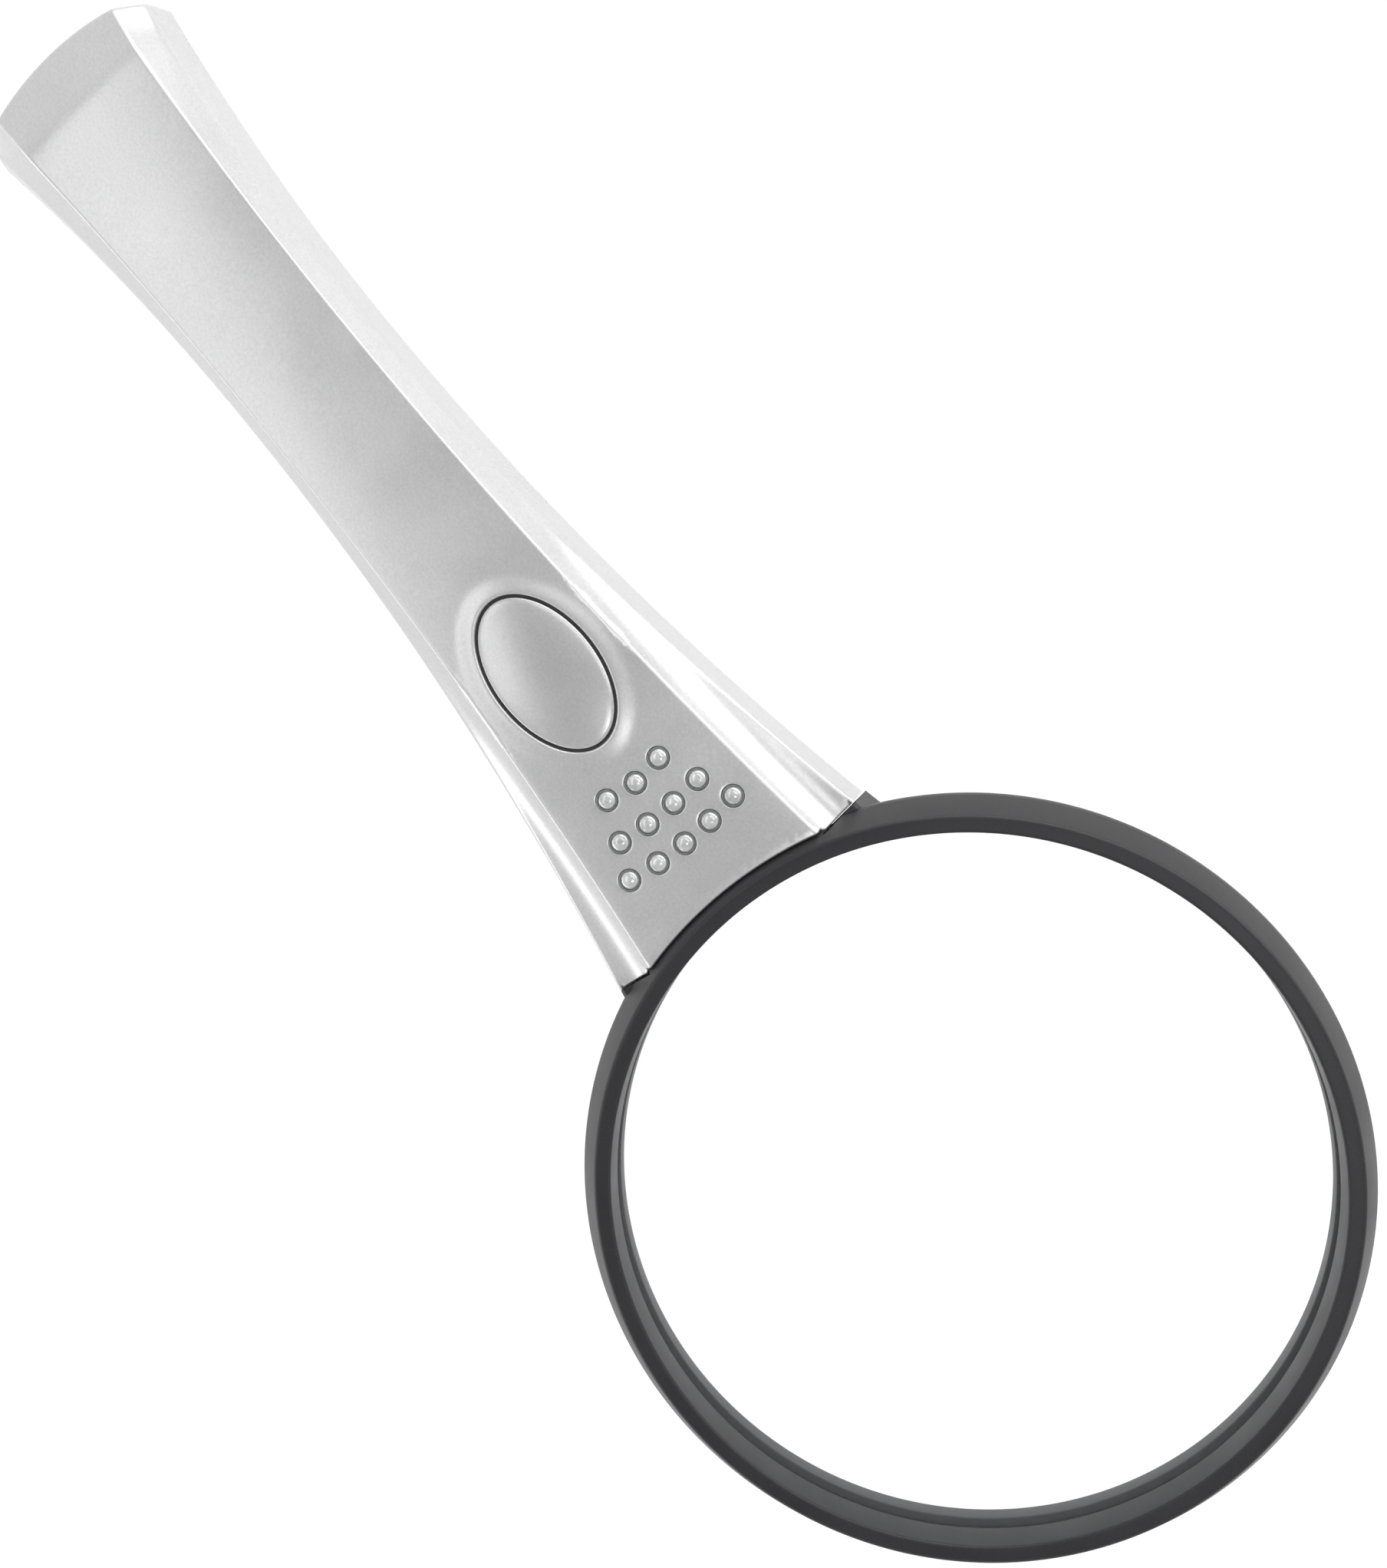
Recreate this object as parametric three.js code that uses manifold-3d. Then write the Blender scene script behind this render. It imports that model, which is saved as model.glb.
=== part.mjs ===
// Hand-held illuminated magnifier: a round lens in a black frame on a flared silver handle.
// Millimetres, +Z up, standing on z = 0, +X from the handle's end towards the lens.
// Inside the group every x is measured from the lens centre, so the handle lies at negative x.
import * as THREE from 'three';
import { mergeVertices } from 'three/addons/utils/BufferGeometryUtils.js';
import Module from 'manifold-3d';

const wasm = await Module();
wasm.setup();

// ---------------------------------------------------------------- driving dimensions
const gap = 0.3;                    // standing clearance between neighbouring pieces

// Lens frame, a turned ring.
const ringRadius = 60;              // outermost radius, at the ring's widest line
const ringHeight = 14.6;
const widestHeight = 8.2;           // height of the widest line
const ringTopOuter = 56.9;          // outer radius of the flat top face
const ringBottomOuter = 57.2;
const openingRadius = 54.4;         // clear opening above the lens
const seatRadius = 56.3;            // bore that the lens and its retainer drop into from below
const ledgeHeight = 8.6;            // underside of the lip that the lens bears on
const ringSegments = 80;

// Lens, equally curved on both faces.
const lensRadius = 56;
const lensLow = 5.9;                // lower and upper corner of the lens's cylindrical edge
const lensHigh = 8.0;
const lensSag = 4.75;               // how far each face bulges from edge to centre

// Handle. The half-widths flare parabolically from the waist to either end.
const waistX = -161;
const neckX = -54;
const flareEndX = -222;
const buttX = -224.3;               // outermost point of the rounded end
const buttArcRadius = 42;
const panelWidth = { waist: 10.05, neck: 16.74, end: 12.42 };   // half-width of the top panel
const bevelWidth = { waist: 12.62, neck: 23.88, end: 17.04 };   // half-width at the bevel's outer edge
const sideWidth = { waist: 13.9, neck: 25.2, end: 18.7 };       // half-width at the parting line
const panelHeight = { neck: 12.5, end: 13.5 };                  // height of the panel's long edges
const panelCrown = 0.4;             // rise of the panel's centre line above its edges
const bevelHeight = 8.7;            // height of the bevel's outer edge
const coveDepth = 0.9;              // hollow of the bevel where it meets the ring
const endCreaseX = -213.3;          // where the top turns down towards the rounded end
const endFall = 0.03;               // share of its height that the top then loses per millimetre
const cornerCut = { x: -55.65, y: 17.4, outerX: -56.45, outerY: 25.2 };   // straight cut beside the ring
const partingHeight = 2.2;          // lower rim of the upper shell
const wall = 1.35;
const sideWall = 1.7;
const floorThickness = 1.6;
const footInset = 1.8;              // side chamfer of the lower shell, down to its flat underside
const tall = { low: -5, depth: 30 };   // cutting blocks reach well below and above the whole handle

// Lugs that reach back from the ring between the shells and take the two neck screws.
const lugBox = { rear: -72.5, front: -55.6, inner: 13, outer: 17.3, low: 3.3, high: 7.2 };

// Push button, oval.
const buttonX = -100.7;
const buttonHole = { a: 13.8, b: 8.6 };
const buttonGap = 0.5;
const buttonTravel = 1.2;

// Grip domes, three bowed rows: x of the row's middle, how many, and how much the row bows.
const domeRows = [
  { x: -67.5, count: 5, bow: 0.009 },
  { x: -73.2, count: 4, bow: 0.010 },
  { x: -79.3, count: 3, bow: 0.027 },
];
const domePitch = 5.13;
const domeRadius = 1.65;
const domeRise = 0.95;
const gripPlate = { rear: -83.5, front: -64.6, halfWidth: 12.6, low: 10.0, high: 10.8, radius: 3 };

// Two AAA cells end to end.
const cellRadius = 5.2;
const cellLength = 43.7;
const nubLength = 0.8;
const nubRadius = 1.9;
const cellAxisHeight = 6.6;
const rearCellX = -214.9;
const frontCellX = rearCellX + cellLength + nubLength + gap;

// Battery door and the bay that it closes.
const doorHingeX = rearCellX - 1.3;  // the door tips about the rear edge of its opening
const bayFrontX = -122.9;
const bayHalfWidth = 7.0;
const doorThickness = 1.1;
const cradleWall = { inner: 6.2, outer: 7.6 };      // ribs that hold the cells, either side of the bay
const doorTab = { y: 3.2, halfWidth: 1.3, top: 1.9 };
const thumbGroove = { first: 6.6, pitch: 1.8, width: 0.8, halfWidth: 3.6, depth: 0.35 };

// Circuit board, switch, lamps.
const board = { rear: -118.5, front: -73.5, halfWidth: 8, low: 3.0, high: 4.2 };
const boardPostPlaces = [[-116, -6], [-116, 6], [-80, -6], [-80, 6]];
const resistorX = -86;
const switchBox = { half: 4, low: 4.5, high: 8.6, boreRadius: 1.75, boreFloor: 5.0 };
const plunger = { radius: 1.63, low: 7.0, high: 10.2 };
const lampBase = new THREE.Vector3(-67.5, 0, 7.4);
const lampPitch = 8.5;
const lampTilt = THREE.MathUtils.degToRad(140);   // from straight up, turned down and forwards
const lampRadius = 1.5;
const windowBox = { rear: -67.5, front: -60.7, halfWidth: 11 };

// Case screws: two beside the lamps, two beside the rear cell.
const neckScrew = { x: -69, y: 15.5, tip: 9.0, lowerBossTop: 3.0, upperBossFoot: 7.5 };
const rearScrew = { x: -211, y: 12.0, tip: 8.8, lowerBossTop: 4.4, upperBossFoot: 4.7 };
const screwHeadRadius = 1.9;
const screwShankRadius = 1.0;

// ---------------------------------------------------------------- geometry helpers
function signedVolume(position, index) {
  const a = new THREE.Vector3();
  const b = new THREE.Vector3();
  const c = new THREE.Vector3();
  let sum = 0;
  for (let i = 0; i < index.length; i += 3) {
    a.fromArray(position, index[i] * 3);
    b.fromArray(position, index[i + 1] * 3);
    c.fromArray(position, index[i + 2] * 3);
    sum += a.dot(b.cross(c));
  }
  return sum / 6;
}

// A closed three.js geometry as a manifold solid: shared vertices merged, slivers dropped, faces outwards.
function solid(geometry) {
  const bare = geometry.clone();
  bare.deleteAttribute('normal');
  bare.deleteAttribute('uv');
  const merged = mergeVertices(bare, 1e-4);
  const position = merged.attributes.position.array;
  const index = [];
  for (let i = 0; i < merged.index.count; i += 3) {
    const [a, b, c] = [0, 1, 2].map((k) => merged.index.getX(i + k));
    if (a !== b && b !== c && c !== a) index.push(a, b, c);
  }
  if (signedVolume(position, index) < 0) index.reverse();
  return new wasm.Manifold(new wasm.Mesh({
    numProp: 3,
    vertProperties: new Float32Array(position),
    triVerts: new Uint32Array(index),
  }));
}

function geometryOf(manifold) {
  const mesh = manifold.getMesh();
  const geometry = new THREE.BufferGeometry();
  geometry.setAttribute('position', new THREE.BufferAttribute(new Float32Array(mesh.vertProperties), 3));
  geometry.setIndex(new THREE.BufferAttribute(new Uint32Array(mesh.triVerts), 1));
  geometry.computeVertexNormals();
  return geometry;
}

function union(first, ...rest) {
  return rest.reduce((sum, part) => sum.add(part), first);
}

function cut(first, ...rest) {
  return rest.reduce((left, part) => left.subtract(part), first);
}

// Skin over a row of equal closed rings of points, capped at both ends.
function loft(rings) {
  const count = rings[0].length;
  const position = rings.flat().flatMap((p) => [p.x, p.y, p.z]);
  const index = [];
  for (let r = 0; r + 1 < rings.length; r += 1) {
    for (let i = 0; i < count; i += 1) {
      const j = (i + 1) % count;
      const low = r * count;
      const high = low + count;
      index.push(low + i, low + j, high + j, low + i, high + j, high + i);
    }
  }
  const last = (rings.length - 1) * count;
  for (const [triangles, start, flip] of [[capOf(rings[0]), 0, true], [capOf(rings.at(-1)), last, false]]) {
    for (const [a, b, c] of triangles) {
      index.push(start + a, start + (flip ? c : b), start + (flip ? b : c));
    }
  }
  const geometry = new THREE.BufferGeometry();
  geometry.setAttribute('position', new THREE.Float32BufferAttribute(position, 3));
  geometry.setIndex(index);
  return solid(geometry);
}

// Triangles of a flat ring of points, seen along whichever axis the ring faces.
function capOf(ring) {
  const facesX = ring.every((p) => Math.abs(p.x - ring[0].x) < 1e-6);
  const flat = ring.map((p) => (facesX ? new THREE.Vector2(p.y, p.z) : new THREE.Vector2(p.x, p.y)));
  const clockwise = THREE.ShapeUtils.isClockWise(flat);
  const order = flat.map((_, i) => (clockwise ? flat.length - 1 - i : i));
  const triangles = THREE.ShapeUtils.triangulateShape(order.map((i) => flat[i]), []);
  return triangles.map((t) => {
    const [a, b, c] = t.map((k) => order[k]);
    return clockwise ? [a, c, b] : [a, b, c];
  });
}

// Solid of revolution about the vertical axis through the origin; profile points are [radius, height].
function turned(profile, segments) {
  const points = profile.map(([r, z]) => new THREE.Vector2(r, z));
  return solid(new THREE.LatheGeometry(points, segments).rotateX(Math.PI / 2));
}

// The same for a ring, whose profile closes on itself.
function turnedRing(profile, segments) {
  return turned([...profile, profile[0]], segments);
}

function cylinder(radius, low, high, x, y, segments = 24) {
  const profile = [[0, low], [radius, low], [radius, high], [0, high]];
  return turned(profile, segments).translate([x, y, 0]);
}

function box(x0, x1, y0, y1, z0, z1) {
  const geometry = new THREE.BoxGeometry(x1 - x0, y1 - y0, z1 - z0);
  geometry.translate((x0 + x1) / 2, (y0 + y1) / 2, (z0 + z1) / 2);
  return solid(geometry);
}

// Upright plate with rounded plan corners.
function roundedPlate(x0, x1, halfWidth, z0, z1, radius) {
  const shape = new THREE.Shape();
  shape.moveTo(x0 + radius, -halfWidth);
  shape.lineTo(x1 - radius, -halfWidth);
  shape.absarc(x1 - radius, -halfWidth + radius, radius, -Math.PI / 2, 0, false);
  shape.absarc(x1 - radius, halfWidth - radius, radius, 0, Math.PI / 2, false);
  shape.absarc(x0 + radius, halfWidth - radius, radius, Math.PI / 2, Math.PI, false);
  shape.absarc(x0 + radius, -halfWidth + radius, radius, Math.PI, Math.PI * 1.5, false);
  const settings = { depth: z1 - z0, bevelEnabled: false, curveSegments: 5 };
  return solid(new THREE.ExtrudeGeometry(shape, settings).translate(0, 0, z0));
}

// Stack of ovals centred on the button: each level is [half-length, half-width, height].
function ovalStack(levels, segments = 48) {
  return loft(levels.map(([a, b, z]) => Array.from({ length: segments }, (_, i) => {
    const turn = (i / segments) * 2 * Math.PI;
    return new THREE.Vector3(buttonX + a * Math.cos(turn), b * Math.sin(turn), z);
  })));
}

// Round rod along a smooth curve through the given points.
function rod(points, radius, steps, sides = 8) {
  const shape = new THREE.Shape();
  shape.absarc(0, 0, radius, 0, 2 * Math.PI, false);
  const curve = points instanceof THREE.Curve
    ? points
    : new THREE.CatmullRomCurve3(points.map((p) => new THREE.Vector3(...p)), false, 'centripetal');
  return solid(new THREE.ExtrudeGeometry(shape, { steps, extrudePath: curve, curveSegments: sides / 2 }));
}

// Helix about the z axis of its own frame.
class Helix extends THREE.Curve {
  constructor(startRadius, endRadius, low, high, turns) {
    super();
    Object.assign(this, { startRadius, endRadius, low, high, turns });
  }

  getPoint(t, target = new THREE.Vector3()) {
    const angle = t * this.turns * 2 * Math.PI;
    const radius = THREE.MathUtils.lerp(this.startRadius, this.endRadius, t);
    const height = THREE.MathUtils.lerp(this.low, this.high, t);
    return target.set(radius * Math.cos(angle), radius * Math.sin(angle), height);
  }
}

// ---------------------------------------------------------------- the handle's outer form
// Half-width at x: a parabola from the waist to the neck, and another from the waist to the end.
function flare(width, x) {
  if (x > waistX) return width.waist + (width.neck - width.waist) * ((x - waistX) / (neckX - waistX)) ** 2;
  return width.waist + (width.end - width.waist) * ((x - waistX) / (flareEndX - waistX)) ** 2;
}

function panelEdgeHeight(x) {
  return THREE.MathUtils.mapLinear(x, neckX, flareEndX, panelHeight.neck, panelHeight.end);
}

// A height above the parting line, lowered behind the crease near the rounded end.
function lowered(x, z) {
  const share = 1 - endFall * Math.max(0, endCreaseX - x);
  return z > partingHeight ? partingHeight + (z - partingHeight) * share : z;
}

const stationCount = 22;
const stationXs = [-227, -220, ...Array.from({ length: stationCount }, (_, i) => (
  THREE.MathUtils.lerp(endCreaseX, -50, i / (stationCount - 1))
))];

// Half of the handle's section at x, from the panel's centre line down to z = low:
// crowned panel, bevel that hollows towards the ring, then the side down to the parting line.
function halfSection(x, low) {
  const panel = flare(panelWidth, x);
  const bevel = flare(bevelWidth, x);
  const side = flare(sideWidth, x);
  const top = panelEdgeHeight(x);
  const cove = x > waistX ? coveDepth * ((x - waistX) / (neckX - waistX)) ** 2 : 0;
  const points = [];
  for (const t of [0, 0.4, 0.75, 1]) points.push([panel * t, top + panelCrown * (1 - t * t)]);
  for (const t of [0.25, 0.5, 0.75, 1]) {
    const y = THREE.MathUtils.lerp(panel, bevel, t);
    points.push([y, THREE.MathUtils.lerp(top, bevelHeight, t) - cove * Math.sin(Math.PI * t)]);
  }
  const slope = (side - bevel) / (bevelHeight - partingHeight);
  points.push([side + slope * (partingHeight - low), low]);
  return points.map(([y, z]) => [y, lowered(x, z)]);
}

function sectionRing(x, half) {
  const right = half.map(([y, z]) => new THREE.Vector3(x, y, z));
  const left = half.slice(half[0][0] === 0 ? 1 : 0).map(([y, z]) => new THREE.Vector3(x, -y, z));
  return [...right, ...left.reverse()];
}

// Plan outline of the rounded end, as a tall block that trims a long body.
function endTrim(inset) {
  const radius = buttArcRadius - inset;
  const centre = buttX + buttArcRadius;
  const shape = new THREE.Shape();
  shape.moveTo(neckX + 20, -radius);
  shape.lineTo(neckX + 20, radius);
  shape.lineTo(centre, radius);
  shape.absarc(centre, 0, radius, Math.PI / 2, Math.PI * 1.5, false);
  const settings = { depth: tall.depth, bevelEnabled: false, curveSegments: 40 };
  return solid(new THREE.ExtrudeGeometry(shape, settings).translate(0, 0, tall.low));
}

// Outer line of the ring from its foot to its top face, as [radius, height], grown by a clearance.
function ringOutline(grow) {
  return [
    [ringBottomOuter, 0],
    [ringBottomOuter + 0.6, 0.6],
    [ringRadius - 0.35, widestHeight - 1.3],
    [ringRadius, widestHeight],
    [ringRadius - 0.35, widestHeight + 1.3],
    [ringTopOuter, ringHeight],
  ].map(([r, z]) => [r + grow, z]);
}

// Tall blocks at both neck corners, from the straight cut to a far line at x = farX.
function cornerBlocks(farX, innerY, shift) {
  const { x, y, outerX, outerY } = cornerCut;
  const reachY = outerY + 3;
  const cutX = (at) => THREE.MathUtils.mapLinear(at, y, outerY, x, outerX) + shift;
  return [-1, 1].map((side) => {
    const corners = [[cutX(innerY), innerY], [cutX(reachY), reachY], [farX, reachY], [farX, innerY]];
    const shape = new THREE.Shape(corners.map(([px, py]) => new THREE.Vector2(px, side * py)));
    const geometry = new THREE.ExtrudeGeometry(shape, { depth: tall.depth, bevelEnabled: false });
    return solid(geometry.translate(0, 0, tall.low));
  });
}

// Room that the shells leave for the ring: its own outline, but a straight cut at the neck corners.
function ringRoom() {
  const outline = ringOutline(gap);
  const foot = [outline[0][0], -5];
  const head = [outline.at(-1)[0], ringHeight + 5];
  const round = turned([[0, -5], foot, ...outline, head, [0, ringHeight + 5]], ringSegments);
  return union(cut(round, ...cornerBlocks(-66, cornerCut.y, 0)), ...cornerBlocks(-42, cornerCut.y, 0));
}

// ---------------------------------------------------------------- lens group
function lensGeometry() {
  const curvature = (lensRadius ** 2 + lensSag ** 2) / (2 * lensSag);
  const bulge = (r) => Math.sqrt(curvature ** 2 - r ** 2) - (curvature - lensSag);
  const radii = [0, 0.25, 0.5, 0.72, 0.88, 1].map((t) => t * lensRadius);
  const lower = radii.map((r) => [r, lensLow - bulge(r)]);
  const upper = radii.map((r) => [r, lensHigh + bulge(r)]).reverse();
  return geometryOf(turned([...lower, ...upper], 56));
}

function lensFrameGeometry() {
  const ring = turnedRing([
    ...ringOutline(0),
    [openingRadius + 0.4, ringHeight],
    [openingRadius, ringHeight - 0.4],
    [openingRadius, ledgeHeight],
    [seatRadius, ledgeHeight],
    [seatRadius, 0],
  ], ringSegments);
  const lugs = [-1, 1].map((side) => {
    const [inner, outer] = [side * lugBox.inner, side * lugBox.outer].sort((a, b) => a - b);
    const lug = box(lugBox.rear, lugBox.front, inner, outer, lugBox.low, lugBox.high);
    return cut(lug, cylinder(screwShankRadius + 0.4, 0, 20, neckScrew.x, side * neckScrew.y));
  });
  const core = cylinder(seatRadius + 0.5, tall.low, tall.depth, 0, 0, ringSegments);
  const shoulders = cornerBlocks(-51, cornerCut.y - gap, gap)
    .map((block) => block.intersect(outerBody(0.6)).subtract(core));
  const notches = cornerBlocks(-66, cornerCut.y - gap, gap);
  return geometryOf(union(cut(union(ring, ...shoulders), ...notches), ...lugs));
}

function lensRetainerGeometry() {
  return geometryOf(turnedRing([
    [openingRadius + 0.1, 2.5],
    [openingRadius + 0.7, 1.9],
    [seatRadius - gap, 1.9],
    [seatRadius - gap, lensLow - 0.6],
    [openingRadius + 0.1, lensLow - 0.6],
  ], ringSegments));
}

// ---------------------------------------------------------------- handle shells
function outerBody(low) {
  const long = loft(stationXs.map((x) => sectionRing(x, halfSection(x, low))));
  return long.intersect(endTrim(0));
}

// Hollow of the upper shell, a simpler form one wall thickness inside.
function upperHollow() {
  const long = loft(stationXs.map((x) => {
    const panel = flare(panelWidth, x);
    const bevel = flare(bevelWidth, x);
    const side = flare(sideWidth, x);
    const top = panelEdgeHeight(x) - wall;
    const cove = x > waistX ? coveDepth * ((x - waistX) / (neckX - waistX)) ** 2 : 0;
    return sectionRing(x, [
      [0, top + panelCrown],
      [panel * 0.55, top + panelCrown * 0.7],
      [panel - 0.7, top],
      [(panel + bevel) / 2 - 0.9, (top + bevelHeight) / 2 - 0.5 - cove],
      [bevel - sideWall, bevelHeight - 1.0],
      [side - sideWall, partingHeight - 1],
      [side - sideWall, -2],
    ].map(([y, z]) => [y, lowered(x, z + wall) - wall]));
  }));
  return long.intersect(endTrim(1.6));
}

function domePlaces() {
  return domeRows.flatMap(({ x, count, bow }) => Array.from({ length: count }, (_, i) => {
    const y = (i - (count - 1) / 2) * domePitch;
    return { x: x - bow * y * y, y };
  }));
}

function screwPlaces() {
  return [
    { name: 'case_screw_neck_left', ...neckScrew },
    { name: 'case_screw_neck_right', ...neckScrew, y: -neckScrew.y },
    { name: 'case_screw_rear_left', ...rearScrew },
    { name: 'case_screw_rear_right', ...rearScrew, y: -rearScrew.y },
  ];
}

function upperShellGeometry() {
  const collarFoot = panelEdgeHeight(buttonX) - 0.4;
  const collar = ovalStack([
    [buttonHole.a + 3.3, buttonHole.b + 2.9, collarFoot],
    [buttonHole.a + 3.1, buttonHole.b + 2.7, collarFoot + 0.45],
    [buttonHole.a + 1.9, buttonHole.b + 1.7, collarFoot + 1.05],
    [buttonHole.a + 0.7, buttonHole.b + 0.7, collarFoot + 1.35],
    [buttonHole.a - 0.5, buttonHole.b - 0.5, collarFoot + 1.4],
  ]);
  const outside = outerBody(partingHeight).add(collar);
  const bosses = screwPlaces().map(({ x, y, upperBossFoot }) => (
    cylinder(2.3, upperBossFoot, 20, x, y, 16).intersect(outside)
  ));
  const pilots = screwPlaces().map(({ x, y, tip }) => (
    cylinder(screwShankRadius + 0.15, 0, tip + 0.4, x, y, 12)
  ));
  const domeHoles = domePlaces().map(({ x, y }) => cylinder(domeRadius + 0.2, 5, 20, x, y, 12));
  const oval = ovalStack([[buttonHole.a, buttonHole.b, 5], [buttonHole.a, buttonHole.b, 20]]);
  const shell = union(outside.subtract(upperHollow()), ...bosses);
  return geometryOf(cut(shell, ...pilots, ...domeHoles, oval, ringRoom()));
}

// Trapezoid band along the handle between two insets from the side line, trimmed to the rounded end.
function band(lowInset, highInset, low, high, endInset) {
  const long = loft(stationXs.map((x) => {
    const side = flare(sideWidth, x);
    return sectionRing(x, [[side - highInset, high], [side - lowInset, low]]);
  }));
  return long.intersect(endTrim(endInset));
}

function lowerShellGeometry() {
  const rim = partingHeight - gap;
  const plate = union(
    band(footInset, footInset - 0.9, 0, 0.6, 1.0),
    band(0.9, 0.1, 0.6, rim, 0.2),
  );
  const hollowAboveFloor = band(3.7, 3.7, floorThickness, 12, 3.7);
  const lip = cut(band(2.7, 2.7, floorThickness - 0.4, 3.8, 2.7), band(3.7, 3.7, 0, 12, 3.7));
  const cradle = [-1, 1].map((side) => {
    const [inner, outer] = [side * cradleWall.inner, side * cradleWall.outer].sort((a, b) => a - b);
    return box(doorHingeX + 1.2, bayFrontX, inner, outer, 1.4, 6.0);
  });
  const innerHalf = cradleWall.inner;
  const frontWall = box(bayFrontX + 0.2, bayFrontX + 1.3, -innerHalf, innerHalf, 1.0, 8.4);
  const boardPosts = boardPostPlaces.map(([x, y]) => cylinder(1.3, 1.0, board.low - gap, x, y, 10));
  const bosses = screwPlaces().map(({ x, y, lowerBossTop }) => cylinder(2.4, 1.0, lowerBossTop, x, y, 16));
  const solidShell = union(plate.subtract(hollowAboveFloor), lip, ...cradle, frontWall, ...boardPosts,
    ...bosses);
  const bayOpening = roundedPlate(doorHingeX, bayFrontX, bayHalfWidth, -1, 1.35, 1.0)
    .add(box(doorHingeX, bayFrontX, -innerHalf, innerHalf, 0.9, 12));
  const tabRecess = box(doorHingeX - 2.2, doorHingeX + 1, -5.2, 5.2, 0.9, 12);
  const thumbScoop = cylinder(5, -1, 0.7, bayFrontX + 1, 0, 24);
  const windowOpening = roundedPlate(windowBox.rear, windowBox.front, windowBox.halfWidth, -1, 6, 1.2);
  const shankHoles = screwPlaces().map(({ x, y }) => cylinder(screwShankRadius + 0.3, -1, 12, x, y, 12));
  const headHoles = screwPlaces().map(({ x, y }) => cylinder(screwHeadRadius + 0.3, -1, 1.9, x, y, 16));
  return geometryOf(cut(solidShell, bayOpening, tabRecess, thumbScoop, windowOpening, ...shankHoles,
    ...headHoles, ringRoom()));
}

function batteryDoorGeometry() {
  const rear = doorHingeX + gap;
  const front = bayFrontX - gap;
  const plate = roundedPlate(rear, front, bayHalfWidth - gap, 0, doorThickness, 0.8);
  const tabs = [-doorTab.y, doorTab.y].map((y) => union(
    box(rear - 1.5, rear + 0.7, y - doorTab.halfWidth, y + doorTab.halfWidth, 1.2, doorTab.top),
    box(rear, rear + 0.7, y - doorTab.halfWidth, y + doorTab.halfWidth, 0.8, doorTab.top),
  ));
  const latch = box(front - 1.2, front - 0.3, -3, 3, 0.8, 3.4);
  const latchNib = box(front - 0.5, front + 0.1, -3, 3, 2.2, 2.8);
  const { first, pitch, width, halfWidth, depth } = thumbGroove;
  const grooves = [0, 1, 2].map((i) => {
    const x = front - first + i * pitch;
    return box(x, x + width, -halfWidth, halfWidth, -1, depth);
  });
  return geometryOf(cut(union(plate, ...tabs, latch, latchNib), ...grooves));
}

function ledWindowGeometry() {
  const { rear, front, halfWidth } = windowBox;
  const pane = roundedPlate(rear + gap, front - gap, halfWidth - gap, 0.2, 2.0, 0.9);
  const flange = roundedPlate(rear - 0.9, front + 0.2, halfWidth + 0.9, floorThickness + gap, 2.5, 0.9);
  return geometryOf(pane.add(flange));
}

function gripDomesGeometry() {
  const { rear, front, halfWidth, low, high, radius } = gripPlate;
  const plate = roundedPlate(rear, front, halfWidth, low, high, radius);
  const domes = domePlaces().map(({ x, y }) => {
    const rim = panelEdgeHeight(x) + panelCrown * (1 - (y / flare(panelWidth, x)) ** 2);
    const arc = [0.3, 0.65].map((t) => {
      const angle = (t * Math.PI) / 2;
      return [domeRadius * Math.cos(angle), rim + domeRise * Math.sin(angle)];
    });
    const foot = (low + high) / 2;
    return turned([[0, foot], [domeRadius, foot], [domeRadius, rim], ...arc, [0, rim + domeRise]], 10)
      .translate([x, y, 0]);
  });
  return geometryOf(union(plate, ...domes));
}

// ---------------------------------------------------------------- push button
function buttonCapGeometry() {
  const a = buttonHole.a - buttonGap;
  const b = buttonHole.b - buttonGap;
  const outside = ovalStack([
    [a + 1.5, b + 1.2, 10.1],
    [a + 1.5, b + 1.2, 11.0],
    [a, b, 11.0],
    [a, b, 13.1],
    [a - 0.25, b - 0.25, 13.5],
    [a - 0.9, b - 0.9, 13.72],
    [a * 0.75, b * 0.75, 14.0],
    [a * 0.45, b * 0.45, 14.2],
    [a * 0.2, b * 0.2, 14.28],
  ]);
  const pocket = ovalStack([[a - 1.2, b - 1.2, 9], [a - 1.2, b - 1.2, 12.5]]);
  const stem = cylinder(1.9, plunger.high + gap, 12.8, buttonX, 0, 16);
  return geometryOf(outside.subtract(pocket).add(stem));
}

function buttonSpringGeometry() {
  const helix = new Helix(3.1, 3.1, switchBox.high + 0.65, 11.85, 3.5);
  return geometryOf(rod(helix, 0.3, 36, 4).translate([buttonX, 0, 0]));
}

function switchPlungerGeometry() {
  const { radius, low, high } = plunger;
  const profile = [[0, low], [radius, low], [radius, high - 0.3], [radius - 0.3, high], [0, high]];
  return geometryOf(turned(profile, 20).translate([buttonX, 0, 0]));
}

function switchBodyGeometry() {
  const { half, low, high, boreRadius, boreFloor } = switchBox;
  const body = box(buttonX - half, buttonX + half, -half, half, low, high);
  return geometryOf(body.subtract(cylinder(boreRadius, boreFloor, high + 1, buttonX, 0, 20)));
}

// ---------------------------------------------------------------- electrics
function circuitBoardGeometry() {
  const plate = box(board.rear, board.front, -board.halfWidth, board.halfWidth, board.low, board.high);
  const holes = boardPostPlaces.map(([x, y]) => cylinder(0.7, 0, 10, x, y, 12));
  return geometryOf(cut(plate, ...holes));
}

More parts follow.
